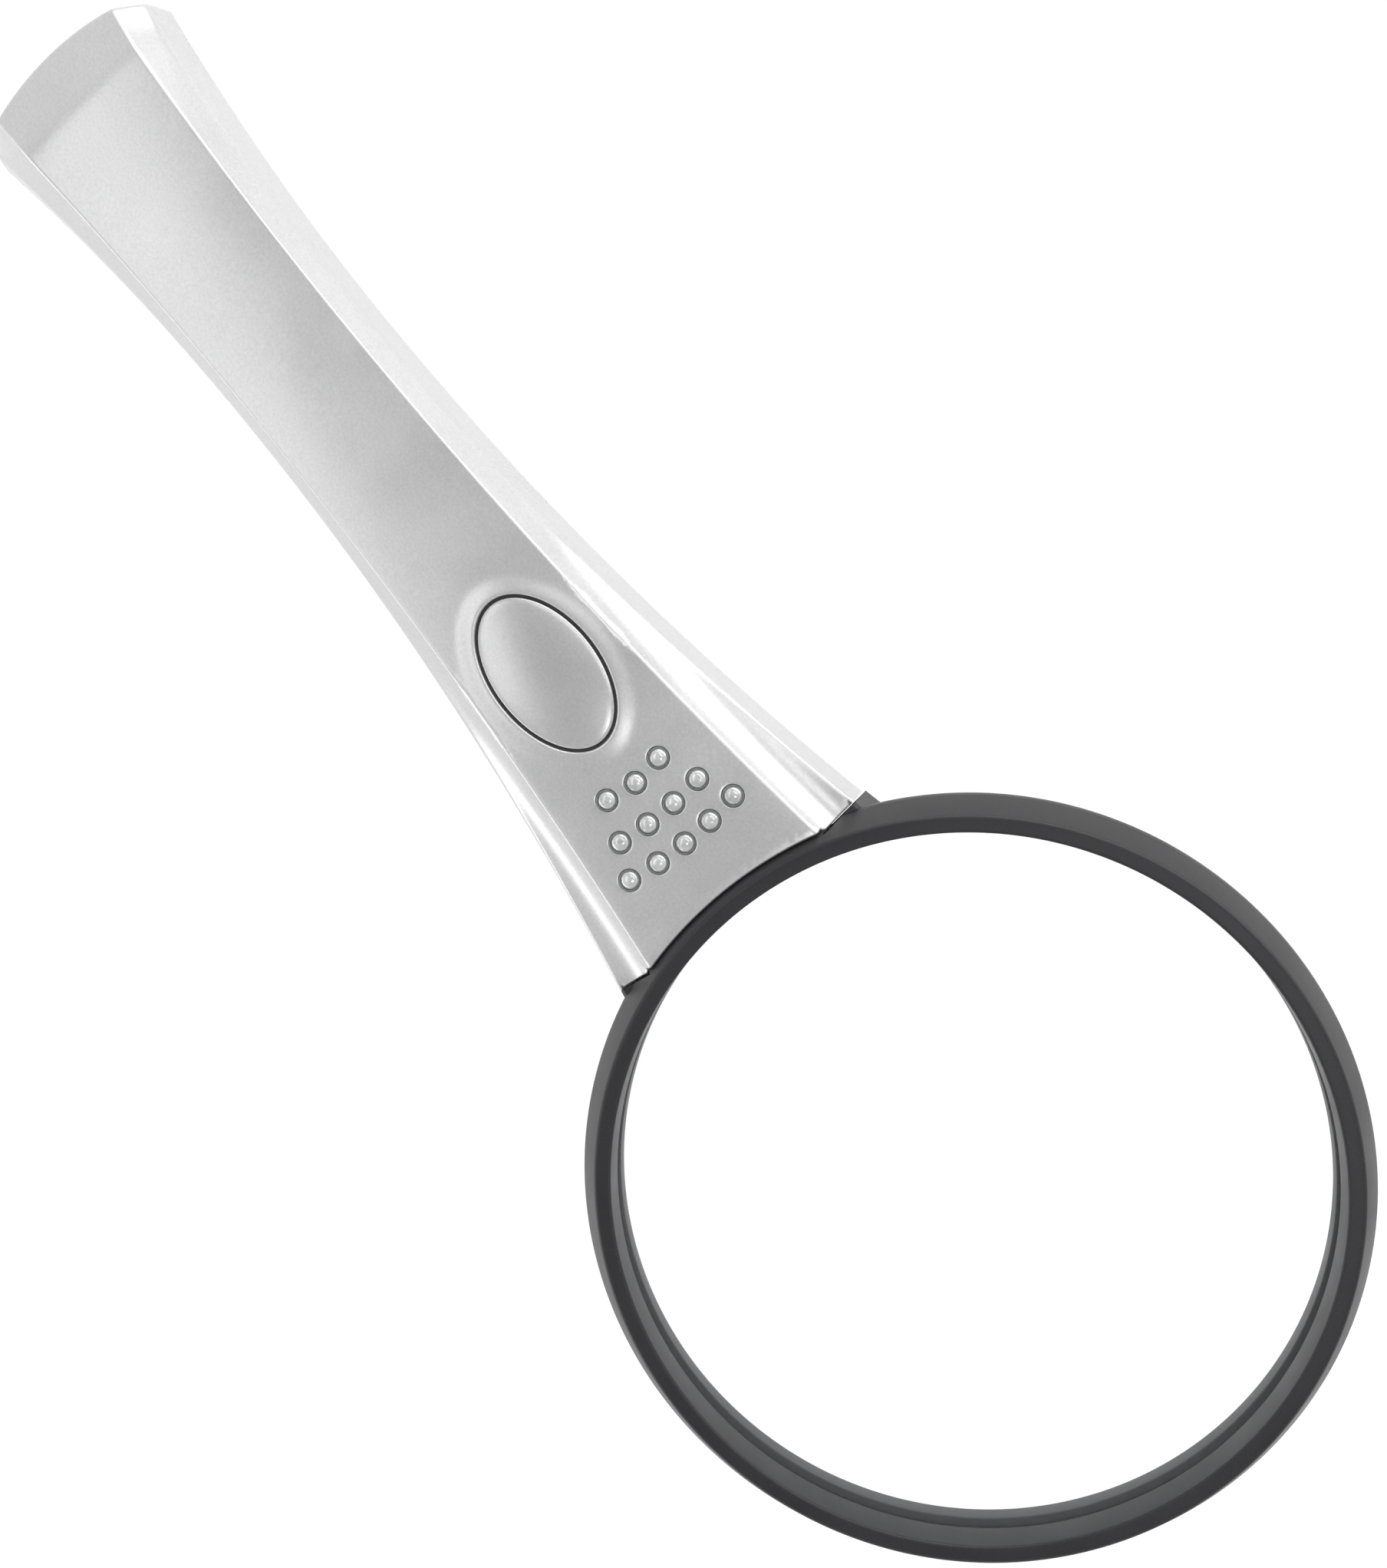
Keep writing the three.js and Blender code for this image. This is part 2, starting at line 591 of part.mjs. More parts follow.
function lampGeometry(y) {
  const bulb = [0.25, 0.5, 0.75].map((t) => {
    const angle = (t * Math.PI) / 2;
    return [lampRadius * Math.cos(angle), 3.8 + lampRadius * Math.sin(angle)];
  });
  const body = turned([[0, 0], [1.9, 0], [1.9, 0.9], [lampRadius, 0.9], [lampRadius, 3.8], ...bulb,
    [0, 3.8 + lampRadius]], 14);
  const tilted = new THREE.Matrix4().makeRotationY(lampTilt).setPosition(lampBase.x, y, lampBase.z);
  const legs = [-0.8, 0.8].map((side) => rod([
    [lampBase.x + 0.4, y + side, lampBase.z - 0.5],
    [lampBase.x - 1.6, y + side, lampBase.z + 1.6],
    [lampBase.x - 4.4, y + side, lampBase.z + 1.0],
    [-75.2, y * 0.75 + side, 6.2],
    [-75.6, y * 0.75 + side, board.high + gap],
  ], 0.25, 9, 4));
  return geometryOf(union(body.transform(tilted.elements), ...legs));
}

function resistorGeometry() {
  const axis = board.high + gap + 1.1;
  const half = [[0.85, 1.6], [1.1, 1.9], [1.1, 2.9], [0.9, 3.2], [0, 3.2]];
  const profile = [...half.map(([r, s]) => [r, -s]).reverse(), ...half];
  const body = new THREE.LatheGeometry(profile.map(([r, s]) => new THREE.Vector2(r, s)), 14);
  const lead = rod([[-4.9, board.high + gap], [-4.9, axis - 0.5], [-4.4, axis], [0, axis],
    [4.4, axis], [4.9, axis - 0.5], [4.9, board.high + gap]].map(([y, z]) => [resistorX, y, z]), 0.25, 20, 4);
  return geometryOf(solid(body.translate(resistorX, 0, axis)).add(lead));
}

function batteryGeometry(rearX) {
  const rise = cellRadius - 0.4;
  const profile = [[0, 0], [rise, 0], [cellRadius, 0.4], [cellRadius, cellLength - 0.4], [rise, cellLength],
    [nubRadius, cellLength], [nubRadius, cellLength + nubLength], [0, cellLength + nubLength]];
  return geometryOf(turned(profile, 28).rotate([0, 90, 0]).translate([rearX, 0, cellAxisHeight]));
}

function batterySpringGeometry() {
  const coil = rod(new Helix(3.3, 2.0, doorHingeX - 1.9, doorHingeX + 0.7, 2.5), 0.3, 28, 4);
  return geometryOf(coil.rotate([0, 90, 0]).translate([0, 0, cellAxisHeight]));
}

function rearContactGeometry() {
  const rear = doorHingeX - 3.0;
  const plate = box(rear, rear + 0.5, -4.4, 4.4, 2.9, 9.2);
  return geometryOf(plate.add(box(rear, rear + 0.8, -4.4, -3.2, 2.9, 4.0)));
}

function frontContactGeometry() {
  const frontX = frontCellX + cellLength + nubLength + gap;
  const plate = box(frontX, frontX + 0.5, -4.4, 4.4, 3.9, 9.4);
  return geometryOf(plate.add(box(frontX, frontX + 2.2, 1.4, 3.4, 9.0, 9.4)));
}

function redWireGeometry() {
  return geometryOf(rod([[-122.4, 2.4, 9.9], [-120.4, 2.6, 9.3], [-118.6, 3.0, 7.4], [-117.0, 3.2, 5.9],
    [-115.6, 3.2, 5.05]], 0.5, 12, 6));
}

function blackWireGeometry() {
  return geometryOf(rod([[-218.2, -5.0, 3.5], [-217.4, -6.4, 3.4], [-215.4, -8.3, 3.4], [-212, -8.8, 3.4],
    [-190, -8.8, 3.4], [-161, -8.8, 3.4], [-132, -8.8, 3.4], [-122.5, -8.6, 4.4], [-119.0, -7.4, 5.4],
    [-115.6, -5.0, 5.1]], 0.5, 34, 6));
}

// ---------------------------------------------------------------- screws
function screwGeometry({ x, y, tip }) {
  const head = turned([[0, 0.5], [screwHeadRadius - 0.3, 0.5], [screwHeadRadius, 0.8], [screwHeadRadius, 1.6],
    [screwShankRadius, 1.6], [screwShankRadius, tip - 1.2], [0.3, tip], [0, tip]], 14);
  const slots = [box(-1.2, 1.2, -0.25, 0.25, 0, 1.1), box(-0.25, 0.25, -1.2, 1.2, 0, 1.1)];
  return geometryOf(cut(head, ...slots).translate([x, y, 0]));
}

// ---------------------------------------------------------------- assembly
const finishes = {
  clear: { color: 0xeef3f4, roughness: 0.05, metalness: 0, transparent: true, opacity: 0.35 },
  charcoal: { color: 0x35363a, roughness: 0.5, metalness: 0 },
  silver: { color: 0xb9babc, roughness: 0.38, metalness: 0.5 },
  silverButton: { color: 0xa9abaf, roughness: 0.34, metalness: 0.5 },
  nickel: { color: 0xc8c9c6, roughness: 0.3, metalness: 1 },
  steel: { color: 0x6d6f73, roughness: 0.35, metalness: 1 },
  boardGreen: { color: 0x1f5a37, roughness: 0.5, metalness: 0 },
  switchBlack: { color: 0x202124, roughness: 0.55, metalness: 0 },
  plungerWhite: { color: 0xe6e4dc, roughness: 0.5, metalness: 0 },
  lampClear: { color: 0xf4f2e2, roughness: 0.08, metalness: 0 },
  resistorBody: { color: 0xc9a878, roughness: 0.6, metalness: 0 },
  cellJacket: { color: 0x3f6f9a, roughness: 0.35, metalness: 0.2 },
  wireRed: { color: 0xb3201d, roughness: 0.5, metalness: 0 },
  wireBlack: { color: 0x1c1c1e, roughness: 0.5, metalness: 0 },
};

const magnifier = new THREE.Group();
magnifier.position.x = -(ringRadius + buttX) / 2;   // puts the origin under the middle of the whole length

function addPiece(name, geometry, finish) {
  const mesh = new THREE.Mesh(geometry, new THREE.MeshStandardMaterial(finishes[finish]));
  mesh.name = name;
  magnifier.add(mesh);
}

addPiece('lens', lensGeometry(), 'clear');
addPiece('lens_frame', lensFrameGeometry(), 'charcoal');
addPiece('lens_retainer', lensRetainerGeometry(), 'charcoal');
addPiece('upper_shell', upperShellGeometry(), 'silver');
addPiece('lower_shell', lowerShellGeometry(), 'silver');
addPiece('battery_door', batteryDoorGeometry(), 'silver');
addPiece('led_window', ledWindowGeometry(), 'clear');
addPiece('grip_domes', gripDomesGeometry(), 'clear');
addPiece('button_cap', buttonCapGeometry(), 'silverButton');
addPiece('button_spring', buttonSpringGeometry(), 'steel');
addPiece('switch_plunger', switchPlungerGeometry(), 'plungerWhite');
addPiece('switch_body', switchBodyGeometry(), 'switchBlack');
addPiece('circuit_board', circuitBoardGeometry(), 'boardGreen');
for (const [name, y] of [['led_left', lampPitch], ['led_middle', 0], ['led_right', -lampPitch]]) {
  addPiece(name, lampGeometry(y), 'lampClear');
}
addPiece('resistor', resistorGeometry(), 'resistorBody');
addPiece('battery_rear', batteryGeometry(rearCellX), 'cellJacket');
addPiece('battery_front', batteryGeometry(frontCellX), 'cellJacket');
addPiece('battery_spring', batterySpringGeometry(), 'nickel');
addPiece('battery_contact_rear', rearContactGeometry(), 'nickel');
addPiece('battery_contact_front', frontContactGeometry(), 'nickel');
addPiece('wire_red', redWireGeometry(), 'wireRed');
addPiece('wire_black', blackWireGeometry(), 'wireBlack');
for (const place of screwPlaces()) addPiece(place.name, screwGeometry(place), 'steel');

export default magnifier;
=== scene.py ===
"""Looks of the illuminated hand magnifier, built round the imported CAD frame. Lengths are in metres."""
import math

import bmesh
import bpy
from mathutils import Matrix, Vector
from mathutils.geometry import delaunay_2d_cdt


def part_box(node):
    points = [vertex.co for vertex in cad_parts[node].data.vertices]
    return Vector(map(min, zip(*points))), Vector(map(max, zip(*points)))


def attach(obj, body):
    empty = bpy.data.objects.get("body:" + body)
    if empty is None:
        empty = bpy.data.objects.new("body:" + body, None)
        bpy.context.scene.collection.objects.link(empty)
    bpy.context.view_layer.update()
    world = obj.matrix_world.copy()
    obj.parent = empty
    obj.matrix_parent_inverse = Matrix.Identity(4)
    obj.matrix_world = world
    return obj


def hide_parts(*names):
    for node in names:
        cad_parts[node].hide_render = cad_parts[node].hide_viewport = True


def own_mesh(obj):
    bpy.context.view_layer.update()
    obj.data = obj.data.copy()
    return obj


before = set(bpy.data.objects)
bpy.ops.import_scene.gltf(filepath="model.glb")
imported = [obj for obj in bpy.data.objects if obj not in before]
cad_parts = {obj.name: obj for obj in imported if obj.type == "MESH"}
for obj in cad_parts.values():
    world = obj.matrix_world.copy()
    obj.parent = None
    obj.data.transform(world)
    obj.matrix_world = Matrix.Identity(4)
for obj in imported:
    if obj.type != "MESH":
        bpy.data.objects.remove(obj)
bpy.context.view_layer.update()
MM = 0.001

# ------------------------------------------------------------------ places read from the frame
lens_low, lens_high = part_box("lens")
ring_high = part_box("lens_frame")[1]
shell_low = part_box("upper_shell")[0]
button_low, button_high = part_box("button_cap")
LENS_X = (lens_low.x + lens_high.x) / 2
LENS_RADIUS = (lens_high.x - lens_low.x) / 2
RING_RADIUS = ring_high.y
RING_HEIGHT = ring_high.z
BUTT_X = shell_low.x
BUTTON_X = (button_low.x + button_high.x) / 2

# ------------------------------------------------------------------ the handle's form
GAP = 0.3 * MM
WIDEST_HEIGHT = 8.2 * MM          # height of the ring's widest line
RING_TOP_OUTER = RING_RADIUS - 3.1 * MM
RING_BOTTOM_OUTER = RING_RADIUS - 2.8 * MM
WAIST_X = LENS_X - 161 * MM
NECK_X = LENS_X - 54 * MM
FLARE_END_X = LENS_X - 222 * MM
BUTT_ARC = 42 * MM
PANEL_WIDTH = {"waist": 10.05 * MM, "neck": 16.74 * MM, "end": 12.42 * MM}
BEVEL_WIDTH = {"waist": 12.62 * MM, "neck": 23.88 * MM, "end": 17.04 * MM}
SIDE_WIDTH = {"waist": 13.9 * MM, "neck": 25.2 * MM, "end": 18.7 * MM}
PANEL_HEIGHT = {"neck": 12.5 * MM, "end": 13.5 * MM}
PANEL_CROWN = 0.4 * MM
BEVEL_HEIGHT = 8.7 * MM
PARTING_HEIGHT = 2.2 * MM
COVE_DEPTH = 1.25 * MM
CREASE_X = LENS_X - 213.3 * MM    # where the top turns down towards the rounded end
END_FALL = 30.0                   # share of its height that the top then loses per metre
WALL = 0.9 * MM
SIDE_EDGE = 0.55 * MM             # rounding of the line between bevel and side
BUTT_EDGE = 0.9 * MM              # rounding of the handle's rounded end
RIM = 0.35 * MM                   # rounding of the cut edges
CORNER_Y = 17.4 * MM              # beyond this the cut beside the ring is straight
CORNER_X = LENS_X - 55.65 * MM
CORNER_LEAN = -0.1026             # how the straight cut draws back, per unit of width

# Push button and its collar.
CAP_A = (button_high.x - button_low.x) / 2 - 1.5 * MM
CAP_B = (button_high.y - button_low.y) / 2 - 1.2 * MM
HOLE_A = CAP_A + 0.45 * MM
HOLE_B = CAP_B + 0.45 * MM
COLLAR_RISE = 0.4 * MM
COLLAR_REACH = 3.6 * MM

# Grip domes: x of each row's middle, how many, how much the row bows (per metre).
DOME_ROWS = ((-67.5 * MM, 5, 9.0), (-73.2 * MM, 4, 10.0), (-79.3 * MM, 3, 27.0))
DOME_PITCH = 5.13 * MM
DOME_RADIUS = 1.65 * MM
DOME_RISE = 1.15 * MM

# How finely the outlines are divided.
SIDE_STEPS = 170
BEND_STEPS = 6
BUTT_STEPS = 40
SEAM_SEGMENTS = 128               # ovals of the button and its seal
COLLAR_SEGMENTS = 150             # ovals of the shell round the button
DOME_SEGMENTS = 40
DOME_HOLE_SEGMENTS = 36
RING_SEGMENTS = 288


def clamp01(t):
    return min(1.0, max(0.0, t))


def smoothstep(t):
    t = clamp01(t)
    return t * t * (3 - 2 * t)


def smooth_min(a, b, k):
    h = clamp01(0.5 + 0.5 * (b - a) / k)
    return b + (a - b) * h - k * h * (1 - h)


def flare(width, x):
    """Half-width at x: one parabola from the waist to the neck, another to the handle's end."""
    far_x, far = (NECK_X, width["neck"]) if x > WAIST_X else (FLARE_END_X, width["end"])
    return width["waist"] + (far - width["waist"]) * ((x - WAIST_X) / (far_x - WAIST_X)) ** 2


def panel_edge_height(x):
    t = (x - NECK_X) / (FLARE_END_X - NECK_X)
    return PANEL_HEIGHT["neck"] + (PANEL_HEIGHT["end"] - PANEL_HEIGHT["neck"]) * t


def ring_outline():
    """Outer line of the ring from foot to top, as (radius, height)."""
    return [
        (RING_BOTTOM_OUTER, 0),
        (RING_BOTTOM_OUTER + 0.6 * MM, 0.6 * MM),
        (RING_RADIUS - 0.35 * MM, WIDEST_HEIGHT - 1.3 * MM),
        (RING_RADIUS, WIDEST_HEIGHT),
        (RING_RADIUS - 0.35 * MM, WIDEST_HEIGHT + 1.3 * MM),
        (RING_TOP_OUTER, RING_HEIGHT),
    ]


def ring_radius_at(z):
    line = ring_outline()
    for (r0, z0), (r1, z1) in zip(line, line[1:]):
        if z <= z1:
            return r0 + (r1 - r0) * (z - z0) / (z1 - z0)
    return line[-1][0]


def dome_places():
    places = []
    for row_x, count, bow in DOME_ROWS:
        for i in range(count):
            y = (i - (count - 1) / 2) * DOME_PITCH
            places.append((LENS_X + row_x - bow * y * y, y))
    return places


DOMES = dome_places()
DOME_HOLE = DOME_RADIUS + 0.12 * MM


def oval_distance(x, y, a, b):
    """How far outside the button's oval (half-lengths a, b) a point lies, near enough for a band
    round it."""
    dx, dy = x - BUTTON_X, y
    k = math.hypot(dx / a, dy / b)
    if k < 1e-9:
        return -b
    return math.hypot(dx, dy) * (1 - 1 / k)


def bare_height(x, y):
    """Height of the handle's top face without the rounding along its cut edges."""
    panel = flare(PANEL_WIDTH, x)
    bevel = flare(BEVEL_WIDTH, x)
    top = panel_edge_height(x)
    off = abs(y)
    crown = top + PANEL_CROWN * (1 - (off / panel) ** 2)
    crown += COLLAR_RISE * smoothstep(1 - oval_distance(x, y, HOLE_A, HOLE_B) / COLLAR_REACH)
    cove = COVE_DEPTH * ((x - WAIST_X) / (NECK_X - WAIST_X)) ** 2 if x > WAIST_X else 0
    t = (off - panel) / (bevel - panel)
    side = top + (BEVEL_HEIGHT - top) * t - cove * math.sin(math.pi * clamp01(t) ** 0.9)
    return lowered(x, smooth_min(crown, side, 0.3 * MM))


def lowered(x, z):
    """A height above the parting line, brought down behind the crease near the rounded end."""
    behind = CREASE_X - x
    softened = (behind + math.sqrt(behind * behind + (1.6 * MM) ** 2)) / 2
    return PARTING_HEIGHT + (z - PARTING_HEIGHT) * (1 - END_FALL * softened)


def neck_cut_x(y, height):
    """Where the shells end beside the ring, at a given height."""
    if abs(y) > CORNER_Y:
        return CORNER_X + CORNER_LEAN * (abs(y) - CORNER_Y)
    return LENS_X - math.sqrt((ring_radius_at(height) + GAP) ** 2 - y * y)


def edge_drop(distance, radius):
    """How much a rounded edge falls at a distance inside its rim."""
    if distance >= radius:
        return 0
    inside = radius - max(0, distance)
    return radius - math.sqrt(max(0, radius * radius - inside * inside))


def top_height(x, y):
    height = bare_height(x, y)
    height -= edge_drop(oval_distance(x, y, HOLE_A, HOLE_B), RIM)
    height -= edge_drop(neck_cut_x(y, height) - x, RIM)
    for dome_x, dome_y in DOMES:
        height -= edge_drop(math.hypot(x - dome_x, y - dome_y) - DOME_HOLE, 0.15 * MM)
    return height


# ------------------------------------------------------------------ mesh helpers
def mesh_object(name, vertices, faces, sharp_degrees=35, body="handle"):
    mesh = bpy.data.meshes.new(name)
    mesh.from_pydata([tuple(v) for v in vertices], [], faces)
    bm = bmesh.new()
    bm.from_mesh(mesh)
    bmesh.ops.remove_doubles(bm, verts=bm.verts, dist=2e-6)
    bmesh.ops.dissolve_degenerate(bm, edges=bm.edges, dist=1e-7)
    bmesh.ops.recalc_face_normals(bm, faces=bm.faces)
    bm.to_mesh(mesh)
    bm.free()
    shade(mesh, sharp_degrees)
    piece = bpy.data.objects.new(name, mesh)
    bpy.context.scene.collection.objects.link(piece)
    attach(piece, body)
    return piece


def shade(mesh, sharp_degrees):
    mesh.polygons.foreach_set("use_smooth", [True] * len(mesh.polygons))
    mesh.set_sharp_from_angle(angle=math.radians(sharp_degrees))


def triangulated(loops, inner_points):
    """Fills the first loop less the other loops, in plan, with triangles through the inner points.
    Returns the points, the triangles and each loop as point numbers."""
    points, edges, loop_numbers = [], [], []
    for loop in loops:
        start = len(points)
        points += [Vector(p) for p in loop]
        edges += [(start + i, start + (i + 1) % len(loop)) for i in range(len(loop))]
        loop_numbers.append(list(range(start, len(points))))
    points += [Vector(p) for p in inner_points]
    found, _, triangles, origins, *_ = delaunay_2d_cdt(points, edges, [], 0, 1e-9)
    place = {source: i for i, sources in enumerate(origins) for source in sources}
    kept = []
    for triangle in triangles:
        centre = sum((found[i] for i in triangle), Vector((0, 0))) / len(triangle)
        if inside(centre, loops[0]) and not any(inside(centre, hole) for hole in loops[1:]):
            kept.append(tuple(triangle))
    return found, kept, [[place[i] for i in numbers] for numbers in loop_numbers]


def inside(point, loop):
    x, y = point
    hit = False
    for (x0, y0), (x1, y1) in zip(loop, loop[1:] + loop[:1]):
        if (y0 > y) != (y1 > y) and x < x0 + (x1 - x0) * (y - y0) / (y1 - y0):
            hit = not hit
    return hit


def strip(first, second, closed=True):
    """Quads between two equal rows of vertex numbers."""
    count = len(first)
    return [
        (first[i], first[(i + 1) % count], second[(i + 1) % count], second[i])
        for i in range(count if closed else count - 1)
    ]


def lathe(name, profile, segments):
    """Solid of revolution about the lens's axis; profile is a closed run of (radius, height)."""
    vertices, faces = [], []
    for k in range(segments):
        turn = 2 * math.pi * k / segments
        for r, z in profile:
            vertices.append((LENS_X + r * math.cos(turn), r * math.sin(turn), z))
    n = len(profile)
    for k in range(segments):
        a, b = k * n, (k + 1) % segments * n
        for i in range(n):
            j = (i + 1) % n
            faces.append((a + i, a + j, b + j, b + i))
    return mesh_object(name, vertices, faces)


def stack(name, loops, body="handle", sharp_degrees=30):
    """Skin over equal closed loops of points, one above the other, closed at both ends."""
    count = len(loops[0])
    vertices = [p for loop in loops for p in loop]
    rows = [list(range(k * count, (k + 1) * count)) for k in range(len(loops))]
    faces = [tuple(reversed(rows[0])), tuple(rows[-1])]
    for low, high in zip(rows, rows[1:]):
        faces += strip(low, high)
    return mesh_object(name, vertices, faces, sharp_degrees, body)


def rounded(corners, steps):
    """Closed profile with rounded corners: corners are (radius, height, rounding)."""
    profile = []
    count = len(corners)
    for i, (r, z, rounding) in enumerate(corners):
        here = Vector((r, z))
        if rounding == 0:
            profile.append((r, z))
            continue
        before = (Vector(corners[i - 1][:2]) - here).normalized() * rounding
        after = (Vector(corners[(i + 1) % count][:2]) - here).normalized() * rounding
        for s in range(steps + 1):
            t = s / steps
            p = here + before * (1 - t) ** 2 + after * t * t
            profile.append((p.x, p.y))
    return profile


def ellipse(x, a, b, count, y=0.0):
    return [
        (x + a * math.cos(2 * math.pi * i / count), y + b * math.sin(2 * math.pi * i / count))
        for i in range(count)
    ]


def plate_object(name, x0, x1, half_width, z0, z1, radius, body="handle", edge=0.15 * MM):
    """Plate with rounded plan corners and softened upper and lower edges."""
    loops = []
    for inset, z in ((edge, z0), (0, z0 + edge), (0, z1 - edge), (edge, z1)):
        plan = rounded_rectangle(x0 + inset, x1 - inset, half_width - inset, radius - inset)
        loops.append([(x, y, z) for x, y in plan])
    return stack(name, loops, body, 40)


def rounded_rectangle(x0, x1, half_width, radius):
    steps = 8
    corners = [(x1 - radius, half_width - radius, 0), (x0 + radius, half_width - radius, 1),
               (x0 + radius, radius - half_width, 2), (x1 - radius, radius - half_width, 3)]
    loop = []
    for cx, cy, quarter in corners:
        for i in range(steps + 1):
            angle = math.pi / 2 * (quarter + i / steps)
            loop.append((cx + radius * math.cos(angle), cy + radius * math.sin(angle)))
    return loop


def shifted(piece, dy):
    """Moves a piece's mesh sideways."""
    for vertex in piece.data.vertices:
        vertex.co.y += dy
    return piece


def boolean(target, cutter, operation):
    """Applies a boolean and removes the cutter."""
    modifier = target.modifiers.new("cut", "BOOLEAN")
    modifier.operation = operation
    modifier.object = cutter
    modifier.solver = "EXACT"
    evaluated = target.evaluated_get(bpy.context.evaluated_depsgraph_get())
    mesh = bpy.data.meshes.new_from_object(evaluated)
    target.modifiers.clear()
    target.data = mesh
    bpy.data.objects.remove(cutter)


def finish_piece(piece, material, *nodes, slot=None):
    piece.data.materials.clear()
    piece.data.materials.append(material)
    if nodes:
        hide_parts(*nodes)
    return piece


# ------------------------------------------------------------------ materials
def new_material(name):
    material = bpy.data.materials.new(name)
    material.use_nodes = True
    nodes = material.node_tree.nodes
    return material, nodes, material.node_tree.links, nodes["Principled BSDF"]


def noise(nodes, links, scale, detail):
    coordinates = nodes.new("ShaderNodeTexCoord")
    texture = nodes.new("ShaderNodeTexNoise")
    texture.inputs["Scale"].default_value = scale
    texture.inputs["Detail"].default_value = detail
    texture.inputs["Roughness"].default_value = 0.5
    links.new(coordinates.outputs["Object"], texture.inputs["Vector"])
    return texture.outputs["Fac"]


def ramp(nodes, links, factor, stops):
    node = nodes.new("ShaderNodeValToRGB")
    while len(node.color_ramp.elements) < len(stops):
        node.color_ramp.elements.new(0.5)
    for element, (place, colour) in zip(node.color_ramp.elements, stops):
        element.position = place
        element.color = (*colour, 1)
    links.new(factor, node.inputs["Fac"])
    return node.outputs["Color"]


def spread(nodes, links, factor, low, high):
    node = nodes.new("ShaderNodeMapRange")
    node.inputs["From Min"].default_value = 0.3
    node.inputs["From Max"].default_value = 0.7
    node.inputs["To Min"].default_value = low
    node.inputs["To Max"].default_value = high
    links.new(factor, node.inputs["Value"])
    return node.outputs["Result"]


def bump(nodes, links, height, strength, distance, shader, previous=None):
    node = nodes.new("ShaderNodeBump")
    node.inputs["Strength"].default_value = strength
    node.inputs["Distance"].default_value = distance
    links.new(height, node.inputs["Height"])
    if previous:
        links.new(previous, node.inputs["Normal"])
    links.new(node.outputs["Normal"], shader.inputs["Normal"])
    return node.outputs["Normal"]


MOTTLE_SCALE = 60                 # noise scales are in waves per metre
RIPPLE_SCALE = 220


def painted(name, dark, light, metallic, rough_low, rough_high, grain, grain_depth, specular=0.5):
    """Satin paint or moulded plastic: mottled colour, uneven gloss, fine grain over a faint ripple."""
    material, nodes, links, shader = new_material(name)
    speckle = noise(nodes, links, grain, 2.0)
    mottle = noise(nodes, links, MOTTLE_SCALE, 4.0)
    mixed = nodes.new("ShaderNodeMix")
    mixed.data_type = "FLOAT"
    mixed.inputs["Factor"].default_value = 0.35
    links.new(speckle, mixed.inputs[2])
    links.new(mottle, mixed.inputs[3])
    colour = ramp(nodes, links, mixed.outputs[0], [(0.3, dark), (0.7, light)])
    links.new(colour, shader.inputs["Base Color"])
    links.new(spread(nodes, links, mottle, rough_low, rough_high), shader.inputs["Roughness"])
    shader.inputs["Metallic"].default_value = metallic
    shader.inputs["Specular IOR Level"].default_value = specular
    ripple = bump(nodes, links, noise(nodes, links, RIPPLE_SCALE, 2.0), 0.04, 0.0002, shader)
    bump(nodes, links, noise(nodes, links, grain, 3.0), 0.12, grain_depth, shader, ripple)
    return material


def clear(name, tint, ior, rough):
    material, nodes, links, shader = new_material(name)
    shader.inputs["Base Color"].default_value = (*tint, 1)
    shader.inputs["Transmission Weight"].default_value = 1.0
    shader.inputs["IOR"].default_value = ior
    smudge = noise(nodes, links, 90, 5.0)
    links.new(spread(nodes, links, smudge, 0.0, rough), shader.inputs["Roughness"])
    return material


def clear_sheet(name, tint, ior):
    """Polished clear plastic that light goes straight through: faint face on, glossy when seen flat."""
    material, nodes, links, shader = new_material(name)
    shader.inputs["Base Color"].default_value = (*tint, 1)
    shader.inputs["IOR"].default_value = ior
    smudge = noise(nodes, links, 45, 5.0)
    links.new(spread(nodes, links, smudge, 0.02, 0.09), shader.inputs["Roughness"])
    fresnel = nodes.new("ShaderNodeFresnel")
    fresnel.inputs["IOR"].default_value = ior
    seen = nodes.new("ShaderNodeMapRange")
    seen.inputs["From Min"].default_value = 0.04
    seen.inputs["From Max"].default_value = 0.6
    seen.inputs["To Min"].default_value = 0.05
    seen.inputs["To Max"].default_value = 0.75
    links.new(fresnel.outputs["Fac"], seen.inputs["Value"])
    links.new(seen.outputs["Result"], shader.inputs["Alpha"])
    return material


def metal(name, dark, light, rough_low, rough_high):
    material, nodes, links, shader = new_material(name)
    cloud = noise(nodes, links, 700, 4.0)
    links.new(ramp(nodes, links, cloud, [(0.3, dark), (0.7, light)]), shader.inputs["Base Color"])
    links.new(spread(nodes, links, cloud, rough_low, rough_high), shader.inputs["Roughness"])
    shader.inputs["Metallic"].default_value = 1.0
    bump(nodes, links, noise(nodes, links, 4000, 2.0), 0.1, 0.00002, shader)
    return material


silver = painted(
    "silver_paint", (0.51, 0.51, 0.508), (0.61, 0.61, 0.608), 0.6, 0.26, 0.34, 2400, 0.000012)
silver_button = painted(
    "silver_button_paint", (0.48, 0.48, 0.478), (0.57, 0.57, 0.568), 0.6, 0.24, 0.32, 2400, 0.000012)
charcoal = painted(
    "charcoal_plastic", (0.011, 0.011, 0.012), (0.019, 0.019, 0.021), 0.0, 0.34, 0.46, 2600, 0.00003, 0.4)
white_plastic = painted(
    "white_plastic", (0.74, 0.73, 0.69), (0.82, 0.81, 0.78), 0.0, 0.4, 0.5, 2600, 0.00002)
lens_clear = clear_sheet("lens_acrylic", (0.97, 0.985, 0.99), 1.49)
moulded_clear = clear("moulded_clear", (0.96, 0.97, 0.98), 1.49, 0.08)
dome_clear = clear_sheet("dome_plastic", (0.72, 0.73, 0.74), 1.6)
